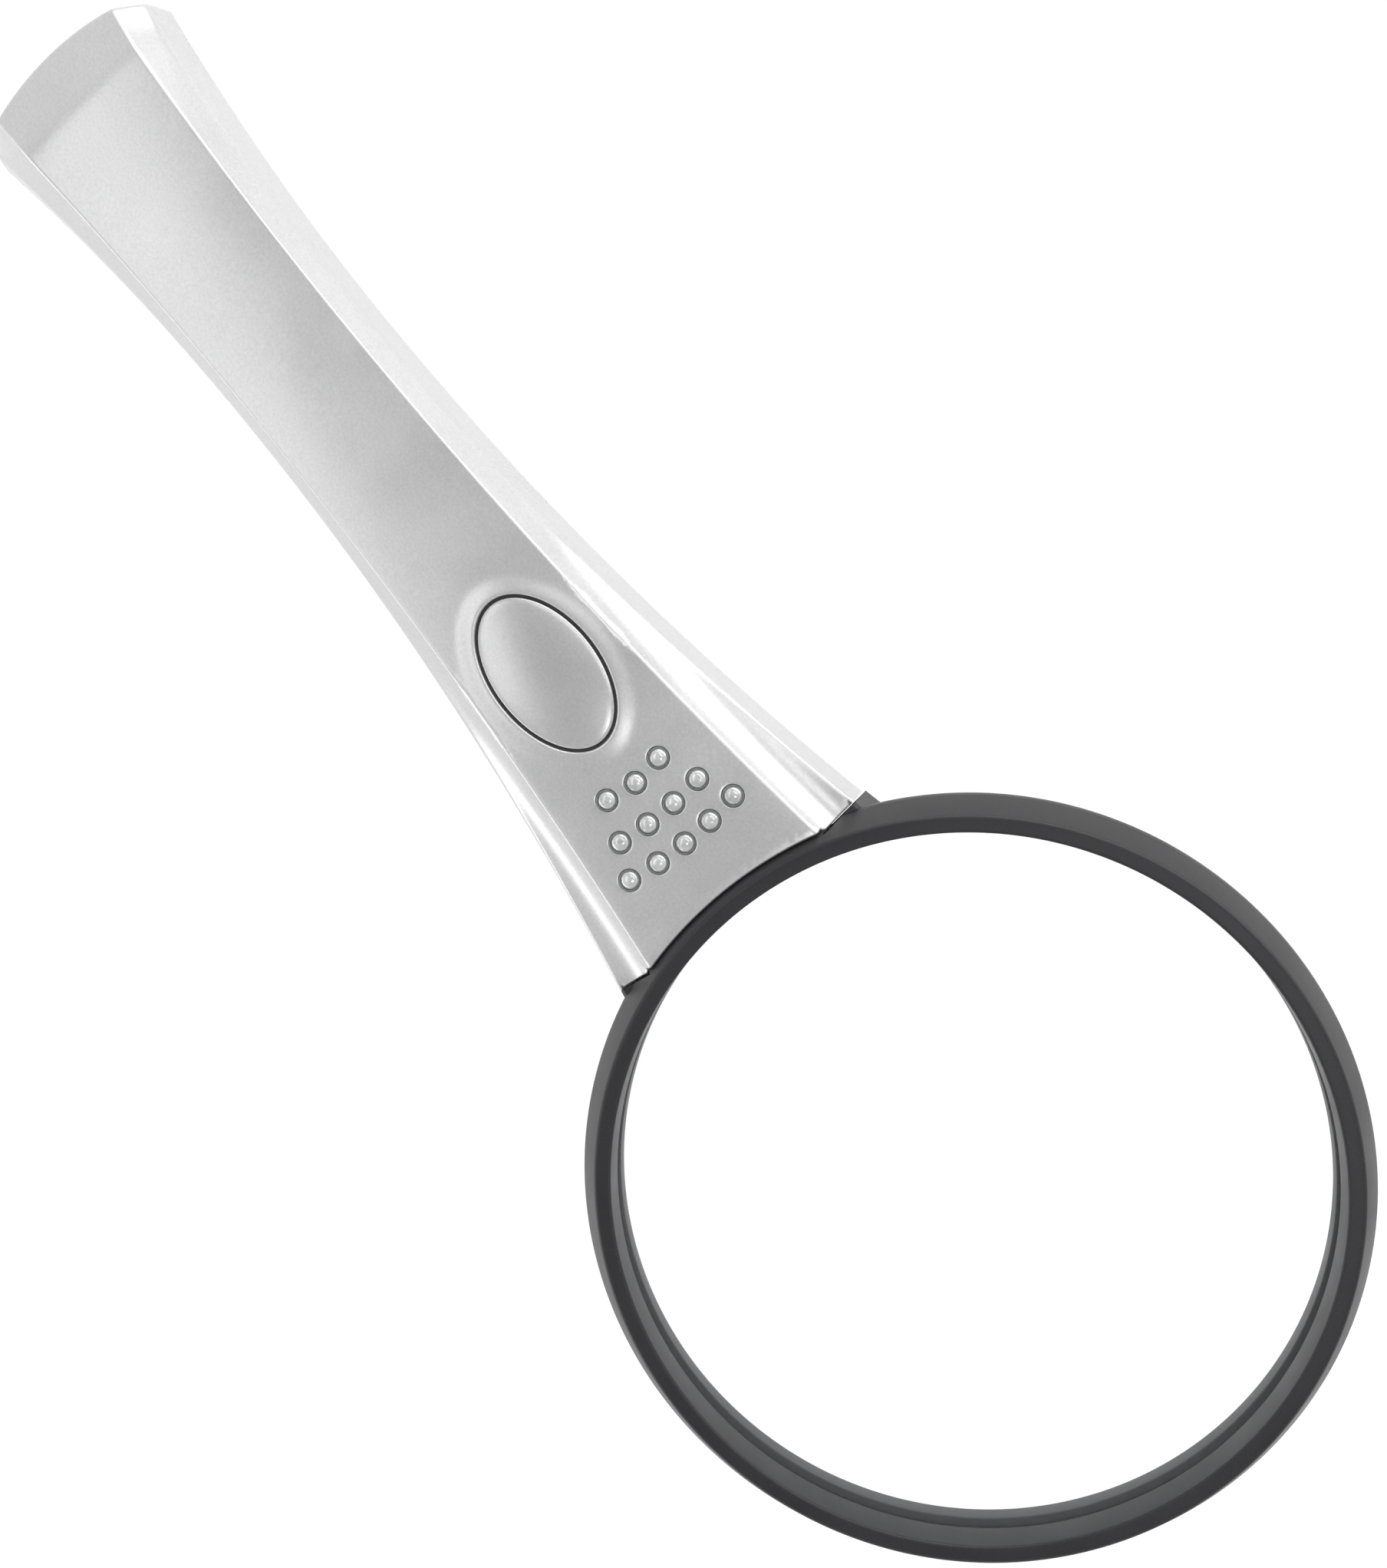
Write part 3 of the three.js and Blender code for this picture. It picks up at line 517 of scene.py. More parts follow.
dome_core = painted("dome_core", (0.42, 0.42, 0.42), (0.74, 0.74, 0.74), 0.35, 0.12, 0.2, 900, 0.0006)
lamp_clear = clear("lamp_epoxy", (0.98, 0.98, 0.95), 1.52, 0.1)
board_green = painted(
    "solder_mask", (0.01, 0.09, 0.035), (0.015, 0.13, 0.05), 0.0, 0.3, 0.45, 1500, 0.00002)
cell_sleeve = painted(
    "cell_sleeve", (0.02, 0.10, 0.24), (0.03, 0.13, 0.30), 0.3, 0.25, 0.35, 3000, 0.00001)
resistor_lacquer = painted(
    "resistor_lacquer", (0.50, 0.33, 0.17), (0.60, 0.42, 0.24), 0.0, 0.4, 0.5, 3000, 0.00002)
red_sleeve = painted(
    "red_wire_sleeve", (0.45, 0.01, 0.01), (0.55, 0.02, 0.015), 0.0, 0.4, 0.5, 3000, 0.00001)
black_sleeve = painted(
    "black_wire_sleeve", (0.012, 0.012, 0.013), (0.02, 0.02, 0.021), 0.0, 0.4, 0.5, 3000, 0.00001)
nickel = metal("nickel_plate", (0.60, 0.59, 0.56), (0.72, 0.71, 0.68), 0.2, 0.32)
steel = metal("zinc_steel", (0.34, 0.34, 0.35), (0.46, 0.46, 0.47), 0.28, 0.42)


# ------------------------------------------------------------------ handle: upper shell
def handle_outline(width, inset, butt_inset):
    """Open outline of the handle at one level, from the ring on the +Y side round the end to the ring
    on -Y. It has the same number of points at every level, so that levels join row to row."""
    radius = BUTT_ARC - butt_inset
    centre = BUTT_X + BUTT_ARC
    bend_size = 0.6 * MM

    def half(x):
        return flare(width, x) - inset

    start_x, corner_x = CORNER_X, BUTT_X + 4 * MM
    for _ in range(12):
        start_x = neck_cut_x(half(start_x), 0)
        corner_x = centre - math.sqrt(radius ** 2 - half(corner_x) ** 2)
    corner = Vector((corner_x, half(corner_x)))
    outline = []
    for i in range(SIDE_STEPS + 1):
        x = start_x + (corner_x + bend_size - start_x) * i / SIDE_STEPS
        outline.append((x, half(x)))
    arc_angle = math.asin(corner.y / radius) - bend_size / radius
    arc = []
    for i in range(BUTT_STEPS + 1):
        angle = arc_angle * (1 - i / BUTT_STEPS)
        arc.append((centre - radius * math.cos(angle), radius * math.sin(angle)))
    for i in range(1, BEND_STEPS):
        t = i / BEND_STEPS
        p = Vector(outline[SIDE_STEPS]) * (1 - t) ** 2 + corner * 2 * t * (1 - t) + Vector(arc[0]) * t * t
        outline.append((p.x, p.y))
    outline += arc
    return outline + [(x, -y) for x, y in reversed(outline[:-1])]


def neck_edge(half_width, height_at):
    """The cut beside the ring from -Y to +Y, both ends left out."""
    count = 96
    edge = []
    for i in range(1, count):
        y = -half_width + 2 * half_width * i / count
        x = CORNER_X
        for _ in range(14):
            x = neck_cut_x(y, height_at(x, y))
        edge.append((x, y))
    return edge


def top_face_points():
    """Inner points of the top face, closest together along its creases and round every hole."""
    points = []
    for reach in (0.1, 0.2, 0.35, 0.65, 1.05, 1.5, 2.0, 2.5, 3.0, 3.5, 4.1):
        points += ellipse(BUTTON_X, HOLE_A + reach * MM, HOLE_B + reach * MM, COLLAR_SEGMENTS)
    for x, y in DOMES:
        for reach in (0.05, 0.15, 0.5, 1.0):
            rim = DOME_HOLE + reach * MM
            points += ellipse(x, rim, rim, DOME_HOLE_SEGMENTS, y)
    for reach in (0.1, 0.2, 0.35):
        edge = neck_edge(flare(BEVEL_WIDTH, CORNER_X) - SIDE_EDGE - 0.1 * MM, bare_height)
        points += [(x - reach * MM, y) for x, y in edge]
    for inset in (0.15, 0.4):
        outline = handle_outline(BEVEL_WIDTH, SIDE_EDGE + inset * MM, BUTT_EDGE + inset * MM)
        points += outline[SIDE_STEPS + 1:-SIDE_STEPS - 1]
    xs = [CORNER_X - 0.8 * MM - 1.1 * MM * i for i in range(152)]
    xs += [CREASE_X + (1.4 - 0.28 * i) * MM for i in range(11)]
    for x in xs:
        panel = flare(PANEL_WIDTH, x)
        bevel = flare(BEVEL_WIDTH, x) - SIDE_EDGE
        near = [panel + d * MM for d in (-0.5, -0.25, -0.1, 0.05, 0.2, 0.45)]
        offs = [panel * k / 9 for k in range(9)] + near
        offs += [near[-1] + (bevel - near[-1]) * k / 9 for k in range(1, 9)]
        for off in offs:
            points += [(x, y) for y in {off, -off} if is_open_field(x, y)]
    return points


def is_open_field(x, y):
    """Away from every hole and cut edge of the top face."""
    if oval_distance(x, y, HOLE_A, HOLE_B) < 4.4 * MM:
        return False
    if any(math.hypot(x - dx, y - dy) < DOME_HOLE + 1.4 * MM for dx, dy in DOMES):
        return False
    if neck_cut_x(y, bare_height(x, y)) - x < 0.6 * MM:
        return False
    end_reach = BUTT_ARC - BUTT_EDGE - 0.6 * MM
    return x > BUTT_X + BUTT_ARC or math.hypot(x - BUTT_X - BUTT_ARC, y) < end_reach


def drawn_in(x, y, by):
    """Moves a point of the inner skin away from the side wall; the middle of the handle stays in place."""
    share = smoothstep((abs(y) / flare(BEVEL_WIDTH, x) - 0.75) / 0.2)
    return x, y - math.copysign(by * share, y)


def upper_shell():
    """Top face with its inner skin, the rounded edge round it, and the side down to the parting line."""
    sheet_side = handle_outline(BEVEL_WIDTH, SIDE_EDGE, BUTT_EDGE)
    ridge_line = handle_outline(BEVEL_WIDTH, 0, 0)
    rim_line = handle_outline(SIDE_WIDTH, 0, 0)
    boundary = sheet_side + neck_edge(sheet_side[0][1], bare_height)
    holes = [ellipse(BUTTON_X, HOLE_A, HOLE_B, COLLAR_SEGMENTS)]
    holes += [ellipse(x, DOME_HOLE, DOME_HOLE, DOME_HOLE_SEGMENTS, y) for x, y in DOMES]
    found, triangles, loops = triangulated([boundary, *holes], top_face_points())
    n = len(found)
    vertices = [(x, y, top_height(x, y)) for x, y in found]
    vertices += [(*drawn_in(x, y, 1.6 * MM), z - WALL) for x, y, z in vertices]
    faces = list(triangles) + [tuple(n + i for i in reversed(t)) for t in triangles]
    side_count = len(sheet_side)
    side_numbers = loops[0][:side_count]
    neck_numbers = [side_numbers[-1]] + loops[0][side_count:] + [side_numbers[0]]
    faces += strip(neck_numbers, [n + i for i in neck_numbers], closed=False)
    for loop in loops[1:]:
        faces += strip(loop, [n + i for i in loop])

    rows = [side_numbers]

    def add_row(points):
        start = len(vertices)
        vertices.extend(points)
        rows.append(list(range(start, start + len(points))))

    edge = [Vector(vertices[i]) for i in side_numbers]
    ridge = [Vector((x, y, bare_height(x, y))) for x, y in ridge_line]
    rim = [Vector((x, y, PARTING_HEIGHT)) for x, y in rim_line]
    below = []
    for p, r, b in zip(edge, ridge, rim):
        below.append(r.lerp(b, min(0.9, (p - r).length / (b - r).length)))
    for t in (0.2, 0.4, 0.6, 0.8, 1.0):
        add_row([
            p * (1 - t) ** 2 + r * 2 * t * (1 - t) + q * t * t
            for p, r, q in zip(edge, ridge, below)
        ])
    for t in (0.3, 0.6, 0.97, 1.0):
        add_row([q.lerp(b, t) for q, b in zip(below, rim)])
    add_row([(x, y, PARTING_HEIGHT) for x, y in handle_outline(SIDE_WIDTH, 1.6 * MM, 1.6 * MM)])
    rows.append([n + i for i in side_numbers])
    for low, high in zip(rows, rows[1:]):
        faces += strip(low, high, closed=False)
    for end in (0, -1):
        faces.append(tuple(row[end] for row in rows))
    return mesh_object("handle_upper", vertices, faces, 40)


finish_piece(upper_shell(), silver, "upper_shell", slot="silver_paint")

# ------------------------------------------------------------------ lens group
ring_profile = rounded([
    (RING_BOTTOM_OUTER, 0, 0.4 * MM),
    (RING_BOTTOM_OUTER + 0.5 * MM, 0.5 * MM, 0.3 * MM),
    (RING_RADIUS, WIDEST_HEIGHT, 1.3 * MM),
    (RING_TOP_OUTER, RING_HEIGHT, 0.5 * MM),
    (RING_RADIUS - 5.6 * MM, RING_HEIGHT, 0.45 * MM),
    (RING_RADIUS - 5.6 * MM, 8.6 * MM, 0.1 * MM),
    (RING_RADIUS - 3.7 * MM, 8.6 * MM, 0.1 * MM),
    (RING_RADIUS - 3.7 * MM, 0, 0.2 * MM),
], 6)


def prism(name, corners, low, high):
    """Upright block over a convex plan outline."""
    count = len(corners)
    vertices = [(x, y, z) for z in (low, high) for x, y in corners]
    faces = [tuple(range(count)), tuple(range(2 * count - 1, count - 1, -1))]
    faces += strip(list(range(count)), list(range(count, 2 * count)))
    return mesh_object(name, vertices, faces)


def corner_prism(side, far_x, inner_y, shift):
    """Block beside one neck corner, from the straight cut to a far line."""
    near, far = inner_y, CORNER_Y + 12 * MM
    corners = [(CORNER_X + CORNER_LEAN * (y - CORNER_Y) + shift, side * y) for y in (near, far)]
    corners += [(far_x, side * far), (far_x, side * near)]
    return prism("corner_block", corners, -5 * MM, 25 * MM)


def handle_slab(x_low, x_high, low):
    """Solid piece of the handle's own form between two stations."""
    rows = []
    for i in range(13):
        x = x_low + (x_high - x_low) * i / 12
        bevel, side = flare(BEVEL_WIDTH, x), flare(SIDE_WIDTH, x)
        foot = side + (side - bevel) * (PARTING_HEIGHT - low) / (BEVEL_HEIGHT - PARTING_HEIGHT)
        offs = [bevel * k / 40 for k in range(41)]
        half_row = [(y, bare_height(x, y) - edge_drop(bevel - y, SIDE_EDGE)) for y in offs] + [(foot, low)]
        rows.append([(x, y, z) for y, z in half_row] + [(x, -y, z) for y, z in reversed(half_row[1:])])
    count = len(rows[0])
    vertices = [p for row in rows for p in row]
    faces = [tuple(range(count)), tuple(range(len(vertices) - 1, len(vertices) - count - 1, -1))]
    for k in range(12):
        start = k * count
        faces += strip(list(range(start, start + count)), list(range(start + count, start + 2 * count)))
    return mesh_object("handle_slab", vertices, faces)


def lens_ring():
    """The ring, with the shoulders that carry the handle's form over to it at both neck corners."""
    ring = lathe("lens_ring", ring_profile, RING_SEGMENTS)
    core_radius = RING_RADIUS - 3.2 * MM
    for side in (-1, 1):
        shoulder = handle_slab(LENS_X - 58 * MM, LENS_X - 51 * MM, 0.6 * MM)
        core_outline = ellipse(LENS_X, core_radius, core_radius, RING_SEGMENTS)
        core = prism("core", core_outline, -5 * MM, 25 * MM)
        boolean(shoulder, corner_prism(side, LENS_X - 51.5 * MM, CORNER_Y - GAP, GAP), "INTERSECT")
        boolean(shoulder, core, "DIFFERENCE")
        boolean(ring, shoulder, "UNION")
        boolean(ring, corner_prism(side, LENS_X - 66 * MM, CORNER_Y - GAP, GAP), "DIFFERENCE")
    shade(ring.data, 30)
    return ring


finish_piece(lens_ring(), charcoal, "lens_frame", slot="black_plastic")

retainer_low, retainer_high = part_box("lens_retainer")
RETAINER_OUTER = (retainer_high.x - retainer_low.x) / 2
retainer_profile = rounded([
    (RING_RADIUS - 5.5 * MM, retainer_low.z, 0.6 * MM),
    (RETAINER_OUTER, retainer_low.z, 0.2 * MM),
    (RETAINER_OUTER, retainer_high.z, 0.2 * MM),
    (RING_RADIUS - 5.5 * MM, retainer_high.z, 0.25 * MM),
], 4)
finish_piece(lathe("lens_retaining_ring", retainer_profile, 240), charcoal, "lens_retainer",
             slot="black_plastic")


def lens_profile():
    """Closed profile of the lens, from the axis below round the edge to the axis above."""
    middle = (lens_low.z + lens_high.z) / 2
    edge_half = 1.05 * MM
    sag = (lens_high.z - lens_low.z) / 2 - edge_half
    curvature = (LENS_RADIUS ** 2 + sag ** 2) / (2 * sag)
    upper = []
    for i in range(33):
        r = LENS_RADIUS * i / 32
        upper.append((r, middle + edge_half - (curvature - sag) + math.sqrt(curvature ** 2 - r * r)))
    lower = [(r, 2 * middle - z) for r, z in upper]
    return lower + upper[::-1]


finish_piece(lathe("lens_blank", lens_profile(), 224), lens_clear, "lens", slot="lens_acrylic")


# ------------------------------------------------------------------ push button
def button_cap():
    """Shallow dome with a rounded rim, on a flange that keeps it under the shell, hollow from below."""
    top = button_high.z
    levels = [
        (1.5, 1.2, button_low.z), (1.5, 1.2, button_low.z + 0.9 * MM), (0.0, 0.0, button_low.z + 0.9 * MM),
        (0.0, 0.0, top - 1.25 * MM), (-0.03, -0.03, top - 1.10 * MM), (-0.11, -0.11, top - 0.97 * MM),
        (-0.23, -0.23, top - 0.89 * MM), (-0.42, -0.42, top - 0.83 * MM), (-0.7, -0.7, top - 0.76 * MM),
    ]
    rows = [(CAP_A + a * MM, CAP_B + b * MM, z) for a, b, z in levels]
    rim_a, rim_b, rim_z = rows[-1]
    for i in range(1, 19):
        t = i / 18
        rows.append((rim_a * (1 - t), rim_b * (1 - t), rim_z + (top - rim_z) * (1 - (1 - t) ** 2)))
    vertices, faces = [], []
    count = SEAM_SEGMENTS
    for a, b, z in rows[:-1]:
        vertices += [(x, y, z) for x, y in ellipse(BUTTON_X, a, b, count)]
    for k in range(len(rows) - 2):
        low = list(range(k * count, (k + 1) * count))
        faces += strip(low, [i + count for i in low])
    tip = len(vertices)
    vertices.append((BUTTON_X, 0, top))
    last = (len(rows) - 2) * count
    faces += [(last + i, last + (i + 1) % count, tip) for i in range(count)]
    inner = [(CAP_A - 1.2 * MM, CAP_B - 1.2 * MM, z) for z in (button_low.z, top - 1.8 * MM)]
    start = len(vertices)
    for a, b, z in inner:
        vertices += [(x, y, z) for x, y in ellipse(BUTTON_X, a, b, count)]
    foot = list(range(count))
    mouth = list(range(start, start + count))
    faces += strip(foot, mouth) + strip(mouth, [i + count for i in mouth])
    faces.append(tuple(i + count for i in mouth))
    return mesh_object("push_button", vertices, faces, 50, body="button")


finish_piece(button_cap(), silver_button, "button_cap", slot="silver_button")


def oval_band(name, inner, outer, low, high):
    """Upright oval band round the button; inner and outer are reaches beyond the cap's outline."""
    vertices, faces, rows = [], [], []
    for reach, z in ((inner, low), (outer, low), (outer, high), (inner, high)):
        rows.append(list(range(len(vertices), len(vertices) + SEAM_SEGMENTS)))
        plan = ellipse(BUTTON_X, CAP_A + reach, CAP_B + reach, SEAM_SEGMENTS)
        vertices += [(x, y, z) for x, y in plan]
    for a, b in zip(rows, rows[1:] + rows[:1]):
        faces += strip(a, b)
    return mesh_object(name, vertices, faces)


# Painted shade: a black band that fills the gap round the button, so the seam shows dark like a shadowed
# slot.
seam_shade_band = oval_band("button_seam_shade", 0.08 * MM, 0.42 * MM, button_low.z + 1.0 * MM, button_high.z - 1.3 * MM)
finish_piece(seam_shade_band, black_sleeve)


def button_spring():
    """Return spring under the cap."""
    low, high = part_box("button_spring")
    wire = 0.3 * MM
    coil = high.y - wire
    turns, steps, sides = 3.5, 168, 10
    climb = high.z - low.z - 2 * wire
    loops = []
    for k in range(steps + 1):
        angle = 2 * math.pi * turns * k / steps
        outward = Vector((math.cos(angle), math.sin(angle), 0))
        middle = Vector((BUTTON_X, 0, low.z + wire + climb * k / steps)) + outward * coil
        loops.append([
            middle + outward * wire * math.cos(turn) + Vector((0, 0, wire * math.sin(turn)))
            for turn in (2 * math.pi * i / sides for i in range(sides))
        ])
    spring = stack("button_return_spring", loops)
    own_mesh(spring)
    return spring


finish_piece(button_spring(), steel, "button_spring", slot="spring_steel")


# ------------------------------------------------------------------ grip domes
def stems(name, profile_at):
    """One round post per grip dome; profile_at(rim height) lists (radius, height) from foot to tip."""
    vertices, faces = [], []
    segments = DOME_SEGMENTS
    for x, y in DOMES:
        start = len(vertices)
        profile = profile_at(bare_height(x, y))
        for r, z in profile[:-1]:
            vertices += [(px, py, z) for px, py in ellipse(x, r, r, segments, y)]
        rows = [[start + k * segments + i for i in range(segments)] for k in range(len(profile) - 1)]
        for low, high in zip(rows, rows[1:]):
            faces += strip(low, high)
        tip = len(vertices)
        vertices.append((x, y, profile[-1][1]))
        faces += [(rows[-1][i], rows[-1][(i + 1) % segments], tip) for i in range(segments)]
        faces.append(tuple(reversed(rows[0])))
    return mesh_object(name, vertices, faces, 40)


def grip_insert():
    """Plate under the shell with a pale post below every dome."""
    low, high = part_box("grip_domes")
    plate_top = low.z + 0.8 * MM
    plate = plate_object("grip_insert", low.x, high.x, high.y, low.z, plate_top, 3 * MM)
    foot = plate_top - 0.3 * MM
    post = DOME_RADIUS - 0.25 * MM
    posts = stems("grip_posts", lambda rim: [
        (post, foot), (post, rim - 0.3 * MM), (post * 0.85, rim - 0.05 * MM), (post * 0.6, rim + 0.15 * MM),
        (post * 0.3, rim + 0.25 * MM), (0, rim + 0.28 * MM)])
    boolean(plate, posts, "UNION")
    shade(plate.data, 40)
    return plate


def dome_profile(rim):
    """Clear dome: a short neck in its hole, then an even curve to the top."""
    profile = [(DOME_RADIUS - 0.1 * MM, rim - 0.7 * MM), (DOME_RADIUS, rim - 0.6 * MM), (DOME_RADIUS, rim)]
    for i in range(1, 12):
        angle = math.pi / 2 * i / 11
        profile.append((DOME_RADIUS * math.cos(angle), rim + DOME_RISE * math.sin(angle)))
    return profile


finish_piece(grip_insert(), dome_core, "grip_domes")
finish_piece(stems("grip_domes_clear", dome_profile), dome_clear, "grip_domes", slot="clear_plastic")

# ------------------------------------------------------------------ underside
door_low, door_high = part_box("battery_door")
window_low, window_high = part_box("led_window")
board_low, board_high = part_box("circuit_board")
SCREWS = ("case_screw_neck_left", "case_screw_neck_right", "case_screw_rear_left", "case_screw_rear_right")
RIM_HEIGHT = PARTING_HEIGHT - GAP        # top of the lower shell's outer edge
FLOOR_THICK = 1.6 * MM
BAY_REAR = door_low.x + 1.2 * MM         # the battery bay, which the door closes
BAY_FRONT = door_high.x + 0.2 * MM
BAY_HALF = door_high.y + GAP
CRADLE_Y = 6.2 * MM                      # inner face of the ribs beside the cells
ABOVE = 12 * MM                          # cutters reach this far up


def shell_loop(inset, z, neck_back):
    """The handle's plan outline at one height. Beside the ring it stays below the rim, drawn back by
    neck_back."""
    side = handle_outline(SIDE_WIDTH, inset, inset)
    neck_z = min(z, RIM_HEIGHT)
    neck = neck_edge(side[0][1], lambda x, y: neck_z)
    return [(x, y, z) for x, y in side] + [(x - neck_back, y, neck_z) for x, y in neck]


def flared_opening(name, x0, x1, half_width, radius, low, high):
    """Cutter for a rounded opening whose lower rim is eased outwards."""
    flare_out = 0.25 * MM
    loops = []
    for grow, z in ((flare_out, low - MM), (flare_out, low), (0, low + flare_out), (0, high)):
        plan = rounded_rectangle(x0 - grow, x1 + grow, half_width + grow, radius + grow)
        loops.append([(x, y, z) for x, y in plan])
    return stack(name, loops)


def round_bar(name, place, profile, segments=40):
    """Upright turned piece; profile lists (radius, height) from foot to top."""
    loops = [[(x, y, z) for x, y in ellipse(place[0], r, r, segments, place[1])] for r, z in profile]
    return stack(name, loops)


def screw_place(node):
    low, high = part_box(node)
    return (low.x + high.x) / 2, (low.y + high.y) / 2


def lower_shell():
    """Underside plate: chamfered foot, lip, ribs beside the cells, bosses, and the openings cut through."""
    rim, lip_top, floor_top = RIM_HEIGHT / MM, 3.8, FLOOR_THICK / MM
    outer = [(1.95, 0, 0), (1.75, 0.05, 0), (1.6, 0.15, 0), (0.95, 0.6, 0), (0.6, 1.05, 0), (0.12, 1.78, 0),
             (0.16, 1.86, 0), (0.25, rim, 0)]
    lip = [(2.7, rim, 0.3), (2.7, lip_top - 0.2, 0.5), (2.9, lip_top, 0.7), (3.5, lip_top, 0.9),
           (3.7, lip_top - 0.2, 1.1), (3.7, floor_top, 1.3)]
    loops = [shell_loop(inset * MM, z * MM, back * MM) for inset, z, back in outer + lip]
    shell = stack("handle_lower", loops)

    rib_half = 0.7 * MM
    for side in (-1, 1):
        rib = plate_object("rib", BAY_REAR + 1.2 * MM, BAY_FRONT, rib_half, 1.4 * MM, 6 * MM, 0.3 * MM)
        boolean(shell, shifted(rib, side * (CRADLE_Y + rib_half)), "UNION")
    wall_front = BAY_FRONT + 1.3 * MM
    end_wall = plate_object("end_wall", BAY_FRONT + 0.2 * MM, wall_front, CRADLE_Y, MM, 8.4 * MM, 0.3 * MM)
    boolean(shell, end_wall, "UNION")
    for x in (board_low.x + 2.5 * MM, board_high.x - 6.5 * MM):
        for y in (-6 * MM, 6 * MM):
            post = [(1.3 * MM, MM), (1.3 * MM, board_low.z - GAP)]
            boolean(shell, round_bar("post", (x, y), post), "UNION")
    for node in SCREWS:
        top = 3.0 * MM if "neck" in node else 4.4 * MM
        boolean(shell, round_bar("boss", screw_place(node), [(2.4 * MM, MM), (2.4 * MM, top)]), "UNION")

    scoop = [(5.2 * MM, -MM), (5.2 * MM, 0), (4.6 * MM, 0.7 * MM)]
    recess_rear, recess_front = BAY_REAR - 2.2 * MM, BAY_REAR + MM
    cutters = [
        flared_opening("bay", BAY_REAR, BAY_FRONT, BAY_HALF, MM, 0, 1.35 * MM),
        plate_object("bay_inner", BAY_REAR, BAY_FRONT, CRADLE_Y, 0.9 * MM, ABOVE, 0.4 * MM),
        plate_object("tab_recess", recess_rear, recess_front, 5.2 * MM, 0.9 * MM, ABOVE, 0.4 * MM),
        round_bar("thumb_scoop", (BAY_FRONT + MM, 0), scoop, 64),
        flared_opening("window_opening", window_low.x + 0.9 * MM, window_high.x - 0.2 * MM,
                       window_high.y - 0.9 * MM, 1.2 * MM, 0, 6 * MM),
    ]
    for node in SCREWS:
        well = [(2.4 * MM, -MM), (2.4 * MM, 0), (2.2 * MM, 0.2 * MM), (2.2 * MM, 1.9 * MM),
                (1.3 * MM, 1.9 * MM), (1.3 * MM, ABOVE)]
        cutters.append(round_bar("screw_well", screw_place(node), well))
    for cutter in cutters:
        boolean(shell, cutter, "DIFFERENCE")
    shade(shell.data, 30)
    return shell


finish_piece(lower_shell(), silver, "lower_shell", slot="silver_paint")


def battery_door():
    """Door plate with thumb grooves, two tabs at the rear and a sprung latch at the front."""
    rear = door_low.x + 1.5 * MM
    front = door_high.x - 0.1 * MM
    thick = 1.1 * MM
    door = plate_object("battery_door_plate", rear, front, door_high.y, 0, thick, 0.8 * MM, "door")
    for side in (-1, 1):
        for x0, low in ((rear - 1.5 * MM, 1.2 * MM), (rear, 0.8 * MM)):
            tab = plate_object("tab", x0, rear + 0.7 * MM, 1.3 * MM, low, 1.9 * MM, 0.2 * MM,
                               edge=0.1 * MM)
            boolean(door, shifted(tab, side * 3.2 * MM), "UNION")
    for x0, x1, low, high in ((1.2, 0.3, 0.8, 3.4), (0.5, -0.1, 2.2, 2.8)):
        latch = plate_object("latch", front - x0 * MM, front - x1 * MM, 3 * MM, low * MM, high * MM,
                             0.2 * MM, edge=0.08 * MM)
        boolean(door, latch, "UNION")
    for i in range(3):
        x = front - (6.2 - 1.8 * i) * MM
        loops = []
        for half, z in ((0.55, -1), (0.55, 0), (0.3, 0.3), (0.15, 0.35)):
            plan = rounded_rectangle(x - half * MM, x + half * MM, (3.2 + half) * MM, 0.14 * MM)
            loops.append([(px, py, z * MM) for px, py in plan])
        boolean(door, stack("groove", loops), "DIFFERENCE")
    shade(door.data, 30)
    return door


finish_piece(battery_door(), silver, "battery_door", slot="silver_paint")


def led_window():
    """Clear pane in the underside in front of the lamps, with a flange that holds it from inside."""
    pane = plate_object("led_window_pane", window_low.x + 1.2 * MM, window_high.x - 0.5 * MM,
                        window_high.y - 1.2 * MM, 0.2 * MM, 2.0 * MM, 0.9 * MM)
    flange = plate_object("flange", window_low.x, window_high.x, window_high.y, FLOOR_THICK + GAP, 2.5 * MM,
                          0.9 * MM)
    boolean(pane, flange, "UNION")
    shade(pane.data, 40)
    return pane


finish_piece(led_window(), moulded_clear, "led_window", slot="clear_plastic")


def case_screw(node):
    """Pan-head screw with a cross slot, head down in its well."""
    low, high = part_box(node)
    head = high.x - (low.x + high.x) / 2
    shank = 1.0 * MM
    profile = []
    for inset, rise in ((0.55, 0), (0.25, 0.08), (0.06, 0.25), (0, 0.5), (0, 1.1)):
        profile.append((head - inset * MM, low.z + rise * MM))
    profile.append((shank, low.z + 1.1 * MM))
    thread = low.z + 1.3 * MM
    while thread < high.z - 1.6 * MM:
        profile.append((shank, thread))
        profile.append((shank - 0.22 * MM, thread + 0.22 * MM))
        profile.append((shank, thread + 0.44 * MM))
        thread += 0.62 * MM
    profile += [(shank, high.z - 1.1 * MM), (0.25 * MM, high.z)]
    place = screw_place(node)
    screw = round_bar(node + "_fine", place, profile, 32)
    for long_x, long_y in ((1.15, 0.24), (0.24, 1.15)):
        plan = []
        for sx, sy in ((-1, -1), (1, -1), (1, 1), (-1, 1)):
            plan.append((place[0] + sx * long_x * MM, place[1] + sy * long_y * MM))
        boolean(screw, prism("slot", plan, low.z - MM, low.z + 0.65 * MM), "DIFFERENCE")
    shade(screw.data, 30)
    return screw


for screw_node in SCREWS:
    finish_piece(case_screw(screw_node), steel, screw_node, slot="screw_steel")


# ------------------------------------------------------------------ cells
def lying(name, profile, rear_x, axis_z):
    """Solid turned about a line along the handle; profile lists (radius, distance from the rear)."""
    loops = []
    for r, s in profile:
        loops.append([(rear_x + s, y, z) for z, y in ellipse(axis_z, r, r, 64)])
    return stack(name, loops)


